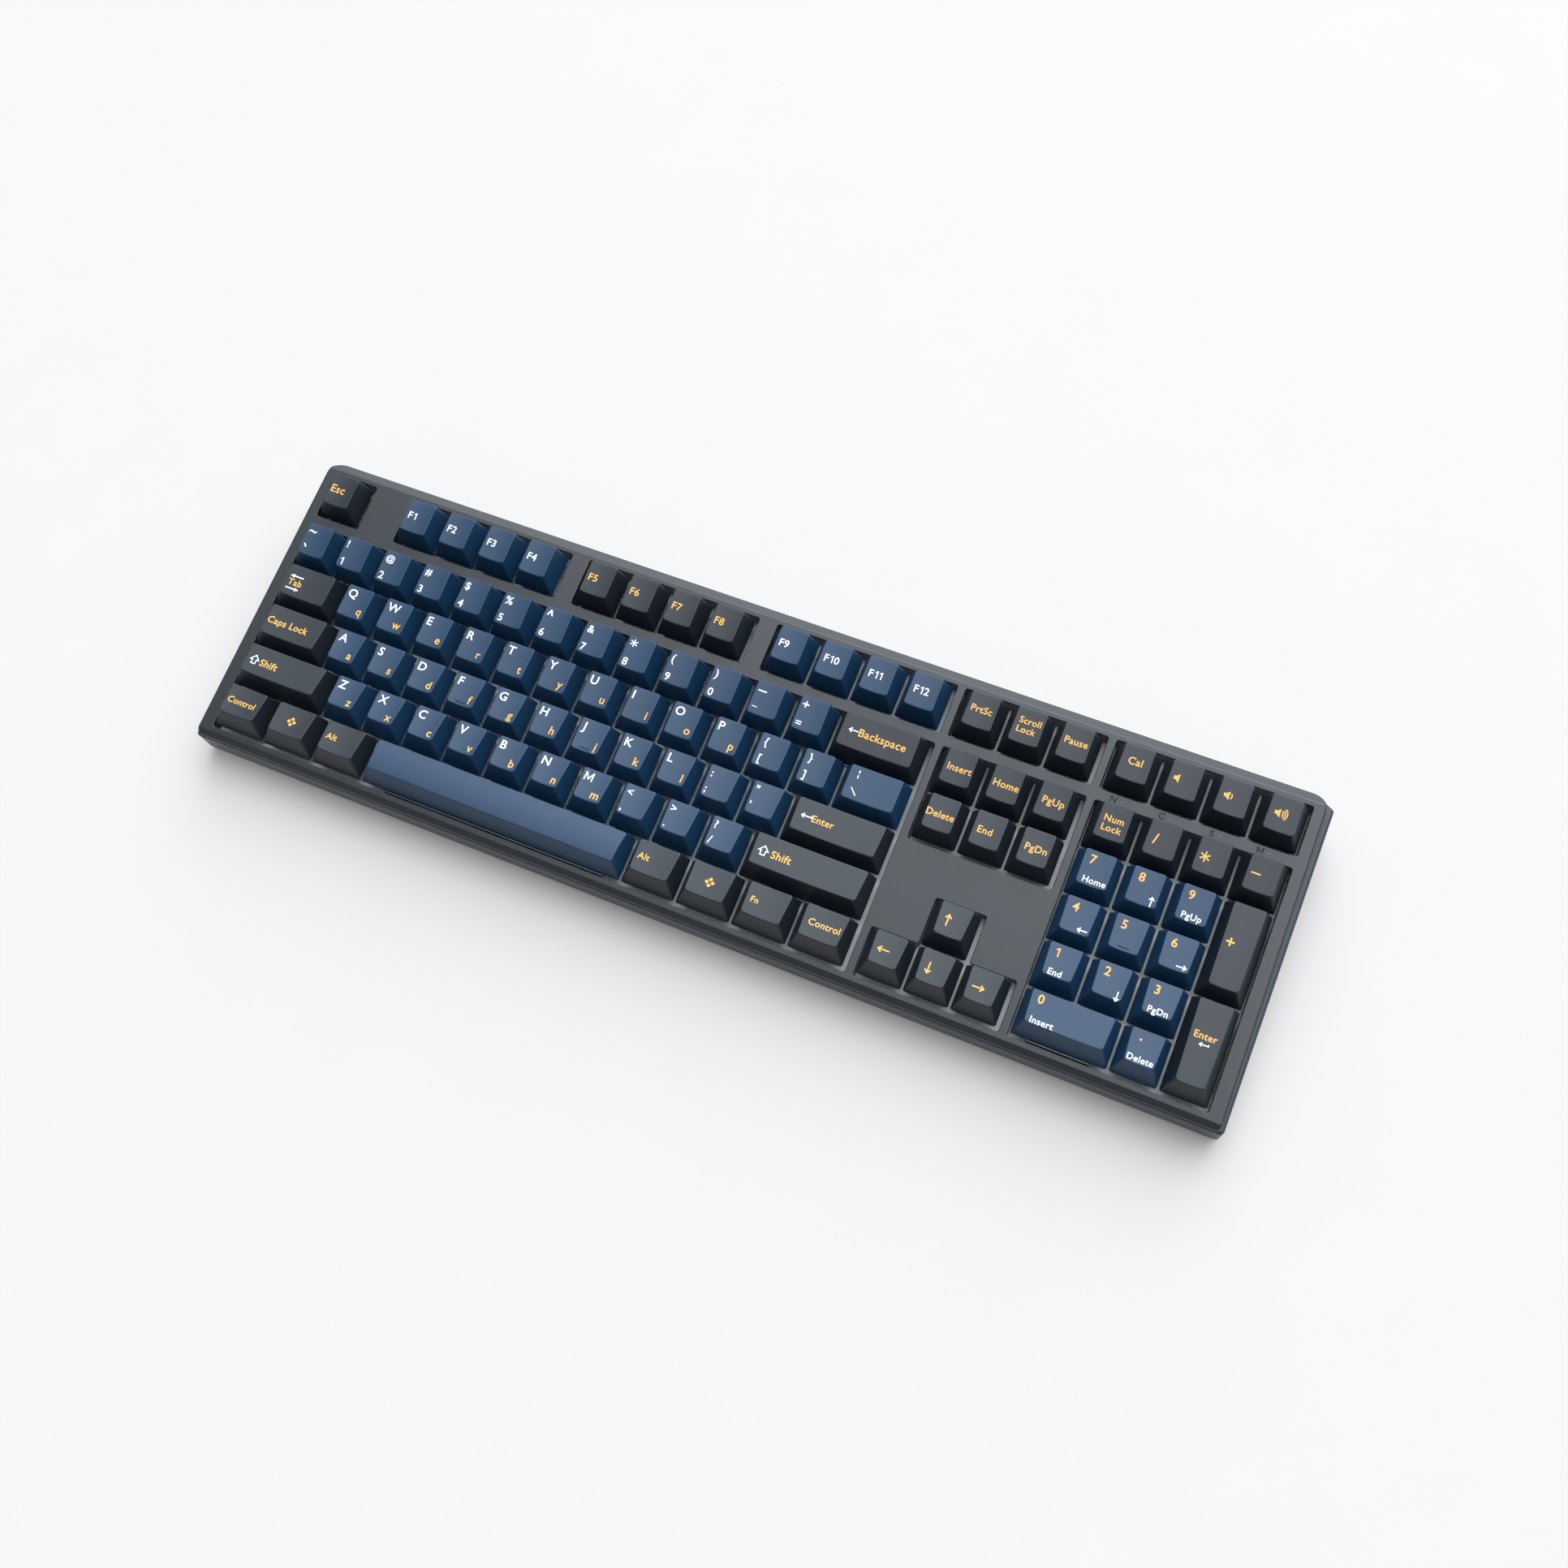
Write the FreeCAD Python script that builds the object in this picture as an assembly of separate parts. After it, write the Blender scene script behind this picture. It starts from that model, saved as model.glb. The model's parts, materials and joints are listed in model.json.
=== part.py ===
import FreeCAD, Part
import math
import os
from FreeCAD import Placement, Rotation, Vector

# Full-size mechanical keyboard, 108 keys.  Two frames are used.
# Row frame: Z up from the desk, X along the keyboard, the back edge at +Y.
# Plate frame: the switch plate's top face is Z = 0 and the key field's centre is the origin.
# place() turns a shape from the plate frame into the row frame by the typing angle.

# ---- driving dimensions (mm and degrees) ----
UNIT = 19.05                # key pitch
FIELD_UNITS = 22.5          # key field width, in key units
ROWS = 6
ROW_GAP = 5.4               # space between the function row and the number row
TYPING_ANGLE = 5.0          # switch plate against the desk
BEZEL_ANGLE = 1.0           # case top against the switch plate, higher at the back
PLATE_HEIGHT = 19.0         # centre of the plate's top face above the desk

FIELD_WIDTH = FIELD_UNITS * UNIT
FIELD_DEPTH = ROWS * UNIT + ROW_GAP

# case
CASE_WIDTH = 445.0
CASE_FRONT = -65.8
CASE_BACK = 67.0
CASE_CORNER = 1.6
CASE_BACK_CUT = ((222.5, 63.6), (219.8, 64.8), (216.0, 67.0))   # right back corner in plan
CASE_WALL = 3.2
CASE_FRONT_WALL = 2.6
CASE_INNER_CORNER = 3.0
CASE_FLOOR = 2.2
CASE_BOTTOM_Z = 1.8         # the rubber feet hold the case this far off the desk
LEDGE_Z = 2.9               # seam between the two case halves, above the plate
LEDGE_CHAMFER = 1.0
BOTTOM_CHAMFER = 1.4
BEZEL_Z = 7.55              # case top above the plate, at the key field's centre
TOP_HALF_FRONT = 220.9      # half width of the upper half at its front, and at its back
TOP_HALF_BACK = 219.4
TOP_FRONT = -65.4
TOP_BACK = 66.85
TOP_FRONT_CORNER = 2.0
TOP_BACK_CORNER = 6.5
TOP_INNER_CORNER = 2.5
TOP_WALL = 2.4
TOP_SKIN = 2.2
TOP_FILLET = 1.0
FRONT_RIDGE = -63.1         # the front bevel starts here
FRONT_BEVEL_ANGLE = 40.0
FRONT_FILLET = 1.0
BACK_RIDGE = 62.9           # the case top ends here and the back bevel starts
BACK_BEVEL_ANGLE = 38.0
LIP_DEPTH = 1.8
LIP_GAP = 0.3
LIP_END_GAP = 0.6           # front and back, where the walls lean against the seam
LIP_WALL = 1.3
# a cutout is larger than its block of keys by: left and right, then back and front
WIDE_SIDES = (0.2, 1.2)
EVEN_SIDES = (0.2, 0.3)
FAR_ENDS = (1.0, 0.4)
MAIN_ENDS = (0.2, 0.8)
CUTOUT_WALL = 1.2
CUTOUT_WALL_FOOT = 0.5      # the cutout walls stop this far above the plate
CUTOUT_CORNER = 1.0
CUTOUT_FILLET = 0.35
CASE_BLOCK_TOP = 14.0       # blocks for the upper half start this tall, above every key gap

# plate and circuit board
PLATE_THICK = 1.5
PLATE_MARGIN = 2.6
BOARD_TOP = -5.0
BOARD_THICK = 1.6
BOARD_MARGIN = 1.0
SWITCH_HOLE = 14.0
STABILISER_HOLE = (7.0, 12.8)

# switch
HOUSING_BODY = 13.9
HOUSING_FLANGE = 15.6
HOUSING_FLANGE_TOP = 1.0
HOUSING_TOP = 6.6
HOUSING_CAVITY = 10.6
HOUSING_CAVITY_FLOOR = -3.8
HOUSING_ROOF = 1.1
HOUSING_COVER_LOW = (7.3, 7.2)            # half width and half depth at the plate
HOUSING_COVER_HIGH = (5.8, 4.7)           # the same at the top
HOUSING_COVER_WALL = 0.9
HOUSING_SLOT = (7.4, 6.0)
HOUSING_POST_R = 2.0
HOUSING_POST_END = -7.6
SLIDER_TOP = 6.8
CROSS_TOP = 10.2
CROSS_ARM = 4.0
CROSS_THICK = 1.2
CROSS_GAP = 0.05
SPRING_OUTER_R = 2.3
SPRING_INNER_R = 1.9
SLIDER_POLE_R = 1.5
SLIDER_FLANGE = (8.6, 7.6, 3.4, 5.4)     # width, depth, underside, top
PIN_OFFSETS = ((-3.81, 2.54), (2.54, 5.08))
PIN_SIZE = (0.9, 0.6)
PIN_END = -8.3

# stabiliser
STABILISER_REACH = {2.0: 11.94, 2.25: 11.94, 2.75: 11.94, 6.25: 50.0}
STABILISER_BODY = (6.6, 10.8, -4.0, 5.6)  # width, depth, underside, top
STABILISER_FLANGE = (7.8, 14.0, 0.8)
STABILISER_CAVITY = (4.6, 7.0, -3.4)
STABILISER_SLIDER = (4.0, 6.0, 1.0, 10.0)
STABILISER_CROSS_TOP = 11.4
WIRE_R = 0.8
WIRE_Y = -8.8
WIRE_Z = 0.9

# keycap
CAP_GAP = 0.9               # between neighbouring caps, at the skirt
CAP_SKIRT_Z = 6.2
CAP_WALL = 1.3
CAP_ROOF = 1.6
CAP_SIDE_INSET = 3.15       # each side, from the skirt to the top face
CAP_STEM_R = 2.75
# profile: height at the middle of the top face, tilt (front edge up), back inset, front inset
PROFILES = {
    "far": (9.5, -1.5, 0.35, 4.0),
    "upper": (7.9, 2.0, 0.4, 3.9),
    "home": (7.3, 6.0, 0.4, 4.0),
    "near": (7.8, 8.5, 0.2, 4.6),
    "upper_tall": (7.7, 2.0, 0.4, 4.0),
    "near_tall": (7.7, 4.0, 0.3, 4.4),
}
ROW_PROFILE = ("far", "far", "upper", "home", "near", "near")

# fasteners, feet and socket
BOSS_SPOTS = ((1.5, 0.5), (6.25, 0.5), (10.75, 0.5), (15.8, 3.5), (17.7, 3.5), (15.7, 4.5), (17.8, 4.5))
BOSS_R = 4.5
BOSS_SEAT_Z = -10.6         # underside of the board bosses' inner shelf, where the screw heads sit
SCREW_HEAD_R = 2.8
SCREW_HEAD_HIGH = 1.8
SCREW_R = 1.3
SCREW_HOLE_R = 1.6
TOP_BOSS_R = 3.2
PILOT_R = 1.35
PILOT_TOP = 4.0

PAD_SIZE = (22.0, 8.0)
PAD_SPOTS = ((-196.0, -58.0), (196.0, -58.0), (-130.0, 60.2), (130.0, 60.2), (0.0, -58.0))
PAD_TOP_Z = 2.6

FOOT_X = 178.0
FOOT_HINGE_Y = 52.0
FOOT_HINGE_Z = 4.7
FOOT_BARREL_R = 2.5
FOOT_PIN_R = 1.6
FOOT_PIN_GAP = 0.05
FOOT_BOTTOM_Z = 2.2
FOOT_TOP_Z = 6.3
POCKET_CEILING_Z = 8.0
POCKET_HALF_WIDTH = 23.0
POCKET_WALL = 2.2
TALL_FOOT = (22.0, 26.0, 16.6, 17.6)      # half width, length, window half width, window length
SHORT_FOOT = (12.0, 15.0)                 # half width, length
LUG = (13.0, 15.4)                        # inner and outer faces, from the foot's middle
TIP_THICK = 1.2
TIP_INSET = 0.3
POCKET_CLEAR = (0.8, 0.5)                 # past the tall foot's tip, and behind the hinge barrel
POCKET_CEILING_THICK = 1.6
HINGE_HOLE_DEPTH = 1.6                    # in the pocket's side walls
HINGE_PIN_END = 0.2                       # a pin stops this far short of its hole's end
OVERLAP = 0.5                             # added pieces run this far into the wall they join

SOCKET_X = -120.0
SOCKET_Z = 12.23
SOCKET_SIZE = (8.94, 3.26, 7.35)
SOCKET_WALL = 0.3
SOCKET_MOUTH_Y = CASE_BACK - 0.8
SOCKET_BOARD = (18.0, 12.0, 1.2)
SOCKET_OPENING = (13.0, 7.0)              # recess around the socket in the back wall
SOCKET_GAP = 0.4
SOCKET_POSTS = (6.5, 2.0)                 # from the socket's middle, radius
SOCKET_TONGUE = (6.6, 0.7)
BOARD_WALL_GAP = 0.3

MAT_HALF_WIDTH = 208.0
MAT_ENDS = (-60.0, 20.0)
MAT_THICK = 1.0
PIN_HOLE_R = 0.75
# chips under the board: width, depth, thickness, and place from the middle of the chip group
CHIPS = ((9.0, 9.0, 1.2, 0.0, 2.0), (5.0, 3.9, 1.1, 9.5, -1.0), (3.2, 2.5, 0.8, -8.0, -1.0))
CHIP_SPOT = (16.75, 3.5)

PIPE_R = 0.65
PIPE_HOLE_R = 0.7
PIPE_UNITS = (19.0, 20.0, 21.0, 22.0)


# ---- key layout: x and width in units, row 0 at the back ----
def run(first, count, row, width=1.0, tall=1):
    return [(first + i * width, row, width, tall) for i in range(count)]


KEYS = {
    "key_escape": run(0, 1, 0),
    "keys_f1_to_f4": run(2, 4, 0),
    "keys_f5_to_f8": run(6.5, 4, 0),
    "keys_f9_to_f12": run(11, 4, 0),
    "keys_print_group": run(15.25, 3, 0),
    "keys_volume_group": run(18.5, 4, 0),
    "keys_number_row": run(0, 13, 1),
    "key_backspace": run(13, 1, 1, 2.0),
    "keys_insert_group": run(15.25, 3, 1),
    "keys_numpad_signs": run(18.5, 4, 1),
    "key_tab": run(0, 1, 2, 1.5),
    "keys_q_to_bracket": run(1.5, 12, 2),
    "key_backslash": run(13.5, 1, 2, 1.5),
    "keys_delete_group": run(15.25, 3, 2),
    "keys_numpad_789": run(18.5, 3, 2),
    "key_numpad_plus": run(21.5, 1, 2, 1.0, 2),
    "key_caps_lock": run(0, 1, 3, 1.75),
    "keys_a_to_quote": run(1.75, 11, 3),
    "key_enter": run(12.75, 1, 3, 2.25),
    "keys_numpad_456": run(18.5, 3, 3),
    "key_left_shift": run(0, 1, 4, 2.25),
    "keys_z_to_slash": run(2.25, 10, 4),
    "key_right_shift": run(12.25, 1, 4, 2.75),
    "key_up": run(16.25, 1, 4),
    "keys_numpad_123": run(18.5, 3, 4),
    "key_numpad_enter": run(21.5, 1, 4, 1.0, 2),
    "key_left_control": run(0, 1, 5, 1.25),
    "key_left_command": run(1.25, 1, 5, 1.25),
    "key_left_alt": run(2.5, 1, 5, 1.25),
    "key_space": run(3.75, 1, 5, 6.25),
    "key_right_alt": run(10, 1, 5, 1.25),
    "key_right_command": run(11.25, 1, 5, 1.25),
    "key_fn": run(12.5, 1, 5, 1.25),
    "key_right_control": run(13.75, 1, 5, 1.25),
    "key_left": run(15.25, 1, 5),
    "key_down": run(16.25, 1, 5),
    "key_right": run(17.25, 1, 5),
    "key_numpad_0": run(18.5, 1, 5, 2.0),
    "key_numpad_point": run(20.5, 1, 5),
}

# case cutouts: rectangles as x from, x to, first row, last row, then the margins
CUTOUTS = (
    (((0, 1, 0, 0),), WIDE_SIDES + FAR_ENDS),
    (((2, 6, 0, 0),), WIDE_SIDES + FAR_ENDS),
    (((6.5, 10.5, 0, 0),), WIDE_SIDES + FAR_ENDS),
    (((11, 15, 0, 0),), WIDE_SIDES + FAR_ENDS),
    (((15.25, 18.25, 0, 0),), WIDE_SIDES + FAR_ENDS),
    (((18.5, 22.5, 0, 0),), EVEN_SIDES + FAR_ENDS),
    (((0, 15, 1, 5),), WIDE_SIDES + MAIN_ENDS),
    (((15.25, 18.25, 1, 2),), WIDE_SIDES + MAIN_ENDS),
    (((16.25, 17.25, 4, 5), (15.25, 18.25, 5, 5)), WIDE_SIDES + MAIN_ENDS),
    (((18.5, 22.5, 1, 5),), EVEN_SIDES + MAIN_ENDS),
)


# ---- helpers ----
def place(shape):
    """Turn a shape from the plate frame into the row frame."""
    moved = shape.copy()
    tilt = Placement(Vector(0, 0, PLATE_HEIGHT), Rotation(Vector(1, 0, 0), TYPING_ANGLE))
    moved.Placement = tilt.multiply(shape.Placement)
    return moved


def save(name, shapes):
    solids = [solid for shape in shapes for solid in shape.Solids]
    shape = solids[0] if len(solids) == 1 else Part.makeCompound(solids)
    shape.exportStep("parts/" + name + ".step")
    box = shape.BoundBox
    size = "%.1f x %.1f x %.1f" % (box.XLength, box.YLength, box.ZLength)
    valid = all(solid.isValid() for solid in solids)
    print(name, len(solids), "solids", size, "z from %.2f" % box.ZMin, "" if valid else "INVALID")


def unit_x(units):
    return units * UNIT - FIELD_WIDTH / 2


def row_back(row):
    """Back edge of a row, in the plate frame."""
    return FIELD_DEPTH / 2 - row * UNIT - (ROW_GAP if row > 0 else 0)


def key_centre(key):
    x, row, width, tall = key
    return unit_x(x + width / 2), row_back(row) - tall * UNIT / 2


def block(x0, x1, y0, y1, z0, z1):
    return Part.makeBox(x1 - x0, y1 - y0, z1 - z0, Vector(x0, y0, z0))


def centred(width, depth, z0, z1, x=0.0, y=0.0):
    return block(x - width / 2, x + width / 2, y - depth / 2, y + depth / 2, z0, z1)


def rod(radius, z0, z1, x=0.0, y=0.0):
    return Part.makeCylinder(radius, z1 - z0, Vector(x, y, z0))


def rod_x(radius, x0, x1, y, z):
    return Part.makeCylinder(radius, x1 - x0, Vector(x0, y, z), Vector(1, 0, 0))


def vertical_edges(shape):
    return [e for e in shape.Edges if abs(e.BoundBox.ZLength) > 0.99 * e.Length]


def rounded(x0, x1, y0, y1, z0, z1, radius):
    body = block(x0, x1, y0, y1, z0, z1)
    return body.makeFillet(radius, vertical_edges(body))


def frustum(low, high):
    """Solid between two rectangles (x0, x1, y0, y1, z)."""
    def corners(r):
        x0, x1, y0, y1, z = r
        return [Vector(x0, y0, z), Vector(x1, y0, z), Vector(x1, y1, z), Vector(x0, y1, z)]

    a = corners(low)
    b = corners(high)
    rings = [a, b] + [[a[i], a[(i + 1) % 4], b[(i + 1) % 4], b[i]] for i in range(4)]
    faces = [Part.Face(Part.makePolygon(ring + ring[:1])) for ring in rings]
    return Part.Solid(Part.Shell(faces))


def prism(points, z0, z1):
    """Upright solid over a plan of (x, y, corner radius)."""
    outline = [Vector(x, y, z0) for x, y, _radius in points]
    body = Part.Face(Part.makePolygon(outline + outline[:1])).extrude(Vector(0, 0, z1 - z0))
    for x, y, radius in points:
        edges = [e for e in vertical_edges(body)
                 if abs(e.CenterOfMass.x - x) + abs(e.CenterOfMass.y - y) < 0.01]
        body = body.makeFillet(radius, edges)
    return body


def slope_cut(y, z, angle, size=500.0):
    """Everything above a plane through (y, z) that rises towards the back by angle."""
    box = Part.makeBox(2 * size, 2 * size, size, Vector(-size, -size, 0))
    box.Placement = Placement(Vector(0, y, z), Rotation(Vector(1, 0, 0), angle))
    return box


def rect_wire(x0, x1, y0, y1, z, radius=0.0):
    if radius <= 0:
        pts = [Vector(x0, y0, z), Vector(x1, y0, z), Vector(x1, y1, z), Vector(x0, y1, z)]
        return Part.makePolygon(pts + pts[:1])
    edges = []
    spots = ((x1 - radius, y0 + radius, 270), (x1 - radius, y1 - radius, 0),
             (x0 + radius, y1 - radius, 90), (x0 + radius, y0 + radius, 180))
    arcs = [Part.makeCircle(radius, Vector(x, y, z), Vector(0, 0, 1), a, a + 90) for x, y, a in spots]
    for i, arc in enumerate(arcs):
        following = arcs[(i + 1) % 4]
        edges.append(arc)
        edges.append(Part.makeLine(arc.Vertexes[-1].Point, following.Vertexes[0].Point))
    return Part.Wire(edges)


def round_wire(radius, x, y, z):
    return Part.Wire(Part.makeCircle(radius, Vector(x, y, z)))


def sheet(outline, holes, thickness):
    """Flat plate from an outline wire and hole wires, thickened upwards."""
    face = Part.Face(outline)
    if holes:
        face = face.cut(Part.makeCompound([Part.Face(hole) for hole in holes]))
    return face.extrude(Vector(0, 0, thickness))


def fuse_all(first, others):
    return first.fuse(others).removeSplitter()


ALL_KEYS = [key for group in KEYS.values() for key in group]


def boss_spot(spot):
    x, row = spot
    whole = int(row)
    return unit_x(x), row_back(whole) - (row - whole) * UNIT


# ---- keys ----
def key_cap(width_units, tall, profile):
    """Cap with its centre post, centred on its key at the plate's top face."""
    height, tilt, back_inset, front_inset = PROFILES[profile]
    half_w = (width_units * UNIT - CAP_GAP) / 2
    half_d = (tall * UNIT - CAP_GAP) / 2
    extra = 1.6

    def body(wall, z0):
        def ring(z):
            k = (z - CAP_SKIRT_Z) / height
            side = half_w - wall - CAP_SIDE_INSET * k
            return (-side, side, -half_d + wall + front_inset * k, half_d - wall - back_inset * k, z)

        return frustum(ring(z0), ring(CAP_SKIRT_Z + height + extra))

    middle_y = (front_inset - back_inset) / 2
    top_z = CAP_SKIRT_Z + height
    outer = body(0.0, CAP_SKIRT_Z).cut(slope_cut(middle_y, top_z, -tilt))
    inner = body(CAP_WALL, CAP_SKIRT_Z).cut(slope_cut(middle_y, top_z - CAP_ROOF, -tilt))
    cap = outer.cut(inner)
    reach = STABILISER_REACH.get(max(width_units, float(tall)))
    spots = [(0.0, 0.0, SLIDER_TOP, CROSS_TOP)]
    if reach:
        for side in (-reach, reach):
            x, y = (side, 0.0) if tall == 1 else (0.0, side)
            spots.append((x, y, STABILISER_SLIDER[3], STABILISER_CROSS_TOP))
    roof = slope_cut(middle_y, top_z - CAP_ROOF / 2, -tilt)
    for x, y, low, cross_top in spots:
        stem = rod(CAP_STEM_R, low, top_z + extra, x, y).cut(roof)
        cap = cap.fuse(stem.common(outer))
    for x, y, low, cross_top in spots:
        cap = cap.cut(cross(CROSS_GAP, low - 0.1, cross_top + 0.3, x, y))
    return cap.removeSplitter()


def cross(gap, z0, z1, x=0.0, y=0.0):
    arm = CROSS_ARM + 2 * gap
    thick = CROSS_THICK + 2 * gap
    return centred(arm, thick, z0, z1, x, y).fuse(centred(thick, arm, z0, z1, x, y)).removeSplitter()


def switch_slider():
    wide, deep, low, high = SLIDER_FLANGE
    body = centred(wide, deep, low, high)
    shaft = centred(HOUSING_SLOT[0] - 0.6, HOUSING_SLOT[1] - 0.6, high, SLIDER_TOP)
    pole = rod(SLIDER_POLE_R, 0.8, low)
    return fuse_all(body, [shaft, pole, cross(0.0, SLIDER_TOP, CROSS_TOP)])


def stabiliser_slider():
    wide, deep, low, high = STABILISER_SLIDER
    return fuse_all(centred(wide, deep, low, high), [cross(0.0, high, STABILISER_CROSS_TOP)])


def stabiliser_spots(key):
    """Centres and turn of a wide key's two stabilisers, in the plate frame."""
    _x, _row, width, tall = key
    reach = STABILISER_REACH.get(max(width, float(tall)))
    if not reach:
        return []
    cx, cy = key_centre(key)
    if tall == 1:
        return [(cx - reach, cy, 0), (cx + reach, cy, 0)]
    return [(cx, cy - reach, 90), (cx, cy + reach, 90)]


def at(shape, x, y, turn=0):
    moved = shape.copy()
    moved.Placement = Placement(Vector(x, y, 0), Rotation(Vector(0, 0, 1), turn))
    return moved


def make_keys():
    caps = {}
    slider = switch_slider()
    side_slider = stabiliser_slider()
    for name, keys in KEYS.items():
        pieces = []
        for key in keys:
            _x, row, width, tall = key
            kind = (width, tall, ROW_PROFILE[row] + ("_tall" if tall > 1 else ""))
            if kind not in caps:
                caps[kind] = key_cap(*kind)
            pieces.append(at(caps[kind], *key_centre(key)))
            pieces.append(at(slider, *key_centre(key)))
            for x, y, turn in stabiliser_spots(key):
                pieces.append(at(side_slider, x, y, turn))
        save(name, [place(piece) for piece in pieces])


# ---- switches and stabilisers ----
def lower_housing():
    body = centred(HOUSING_BODY, HOUSING_BODY, BOARD_TOP, 0)
    flange = centred(HOUSING_FLANGE, HOUSING_FLANGE, 0, HOUSING_FLANGE_TOP)
    post = rod(HOUSING_POST_R, HOUSING_POST_END, BOARD_TOP)
    cavity = centred(HOUSING_CAVITY, HOUSING_CAVITY, HOUSING_CAVITY_FLOOR, HOUSING_FLANGE_TOP)
    return fuse_all(body, [flange, post]).cut(cavity)


def upper_housing():
    """Hollow cover that leans in more from front to back, to stay clear of a pressed cap."""
    roof_z = HOUSING_TOP - HOUSING_ROOF

    def ring(z, wall):
        k = (z - HOUSING_FLANGE_TOP) / (HOUSING_TOP - HOUSING_FLANGE_TOP)
        half_w, half_d = (a + (b - a) * k - wall for a, b in zip(HOUSING_COVER_LOW, HOUSING_COVER_HIGH))
        return (-half_w, half_w, -half_d, half_d, z)

    outer = frustum(ring(HOUSING_FLANGE_TOP, 0.0), ring(HOUSING_TOP, 0.0))
    inner = frustum(ring(HOUSING_FLANGE_TOP, HOUSING_COVER_WALL), ring(roof_z, HOUSING_COVER_WALL))
    slot = centred(*HOUSING_SLOT, roof_z, HOUSING_TOP)
    return outer.cut(inner).cut(slot)


def switch_spring():
    z0 = HOUSING_CAVITY_FLOOR
    z1 = SLIDER_FLANGE[2]
    return rod(SPRING_OUTER_R, z0, z1).cut(rod(SPRING_INNER_R, z0, z1))


def switch_pins():
    wide, deep = PIN_SIZE
    return [centred(wide, deep, PIN_END, BOARD_TOP, x, y) for x, y in PIN_OFFSETS]


def make_switches():
    spots = [key_centre(key) for key in ALL_KEYS]
    for name, shape in (("switch_lower_housings", lower_housing()),
                        ("switch_upper_housings", upper_housing()),
                        ("switch_springs", switch_spring())):
        save(name, [place(at(shape, x, y)) for x, y in spots])
    save("switch_pins", [place(at(pin, x, y)) for x, y in spots for pin in switch_pins()])


def stabiliser_housing():
    wide, deep, low, high = STABILISER_BODY
    body = centred(wide, deep, low, high)
    flange = centred(STABILISER_FLANGE[0], STABILISER_FLANGE[1], 0, STABILISER_FLANGE[2])
    cavity = centred(STABILISER_CAVITY[0], STABILISER_CAVITY[1], STABILISER_CAVITY[2], high)
    return fuse_all(body, [flange]).cut(cavity)


def stabiliser_wire(reach):
    """Bar in front of the switch, with a short arm back to each housing."""
    arm_end = -STABILISER_FLANGE[1] / 2 - 0.1
    bar = rod_x(WIRE_R, -reach, reach, WIRE_Y, WIRE_Z)
    parts = []
    for x in (-reach, reach):
        corner = Vector(x, WIRE_Y, WIRE_Z)
        parts.append(Part.makeSphere(WIRE_R, corner))
        parts.append(Part.makeCylinder(WIRE_R, arm_end - WIRE_Y, corner, Vector(0, 1, 0)))
    return fuse_all(bar, parts)


def make_stabilisers():
    housing = stabiliser_housing()
    housings = []
    wires = []
    for key in ALL_KEYS:
        spots = stabiliser_spots(key)
        housings += [place(at(housing, x, y, turn)) for x, y, turn in spots]
        if spots:
            _x, _row, width, tall = key
            wire = stabiliser_wire(STABILISER_REACH[max(width, float(tall))])
            wires.append(place(at(wire, *key_centre(key), spots[0][2])))
    save("stabiliser_housings", housings)
    save("stabiliser_wires", wires)


# ---- plate and boards ----
def make_plate():
    half_w = FIELD_WIDTH / 2 + PLATE_MARGIN
    half_d = FIELD_DEPTH / 2 + PLATE_MARGIN
    z = -PLATE_THICK
    holes = []
    for key in ALL_KEYS:
        x, y = key_centre(key)
        half = SWITCH_HOLE / 2
        holes.append(rect_wire(x - half, x + half, y - half, y + half, z))
        for sx, sy, turn in stabiliser_spots(key):
            wide, deep = STABILISER_HOLE if turn == 0 else STABILISER_HOLE[::-1]
            holes.append(rect_wire(sx - wide / 2, sx + wide / 2, sy - deep / 2, sy + deep / 2, z))
    for spot in BOSS_SPOTS:
        x, y = boss_spot(spot)
        holes.append(round_wire(SCREW_HOLE_R, x, y, z))
    for units in PIPE_UNITS:
        holes.append(round_wire(PIPE_HOLE_R + 0.5, unit_x(units), pipe_y(), z))
    outline = rect_wire(-half_w, half_w, -half_d, half_d, z, 2.0)
    save("switch_plate", [place(sheet(outline, holes, PLATE_THICK))])


def make_board():
    half_w = FIELD_WIDTH / 2 + BOARD_MARGIN
    half_d = FIELD_DEPTH / 2 + BOARD_MARGIN
    z = BOARD_TOP - BOARD_THICK
    holes = []
    for key in ALL_KEYS:
        x, y = key_centre(key)
        holes.append(round_wire(HOUSING_POST_R + 0.1, x, y, z))
        holes += [round_wire(PIN_HOLE_R, x + dx, y + dy, z) for dx, dy in PIN_OFFSETS]
    for spot in BOSS_SPOTS:
        x, y = boss_spot(spot)
        holes.append(round_wire(SCREW_HOLE_R, x, y, z))
    outline = rect_wire(-half_w, half_w, -half_d, half_d, z, 1.5)
    save("circuit_board", [place(sheet(outline, holes, BOARD_THICK))])
    chip_x, chip_y = boss_spot(CHIP_SPOT)
    chips = [centred(wide, deep, z - thick, z, chip_x + dx, chip_y + dy)
             for wide, deep, thick, dx, dy in CHIPS]
    save("controller_chips", [place(chip) for chip in chips])


def pipe_y():
    return (row_back(1) + row_back(0) - UNIT) / 2


def make_indicator_pipes():
    pipes = []
    for units in PIPE_UNITS:
        x = unit_x(units)
        y = pipe_y()
        top = bezel_height(y)
        pipes.append(place(rod(PIPE_R, BOARD_TOP, top, x, y)))
    save("indicator_light_pipes", pipes)


# ---- case ----
def cutout_shape(cutout, wall, z0, z1, radius):
    rects, (left, right, back, front) = cutout
    parts = []
    for x0, x1, first, last in rects:
        y0 = row_back(last) - UNIT - front - wall
        y1 = row_back(first) + back + wall
        parts.append(block(unit_x(x0) - left - wall, unit_x(x1) + right + wall, y0, y1, z0, z1))
    body = parts[0]
    if len(parts) > 1:
        body = body.fuse(parts[1:]).removeSplitter()
    return body.makeFillet(radius, vertical_edges(body))


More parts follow.
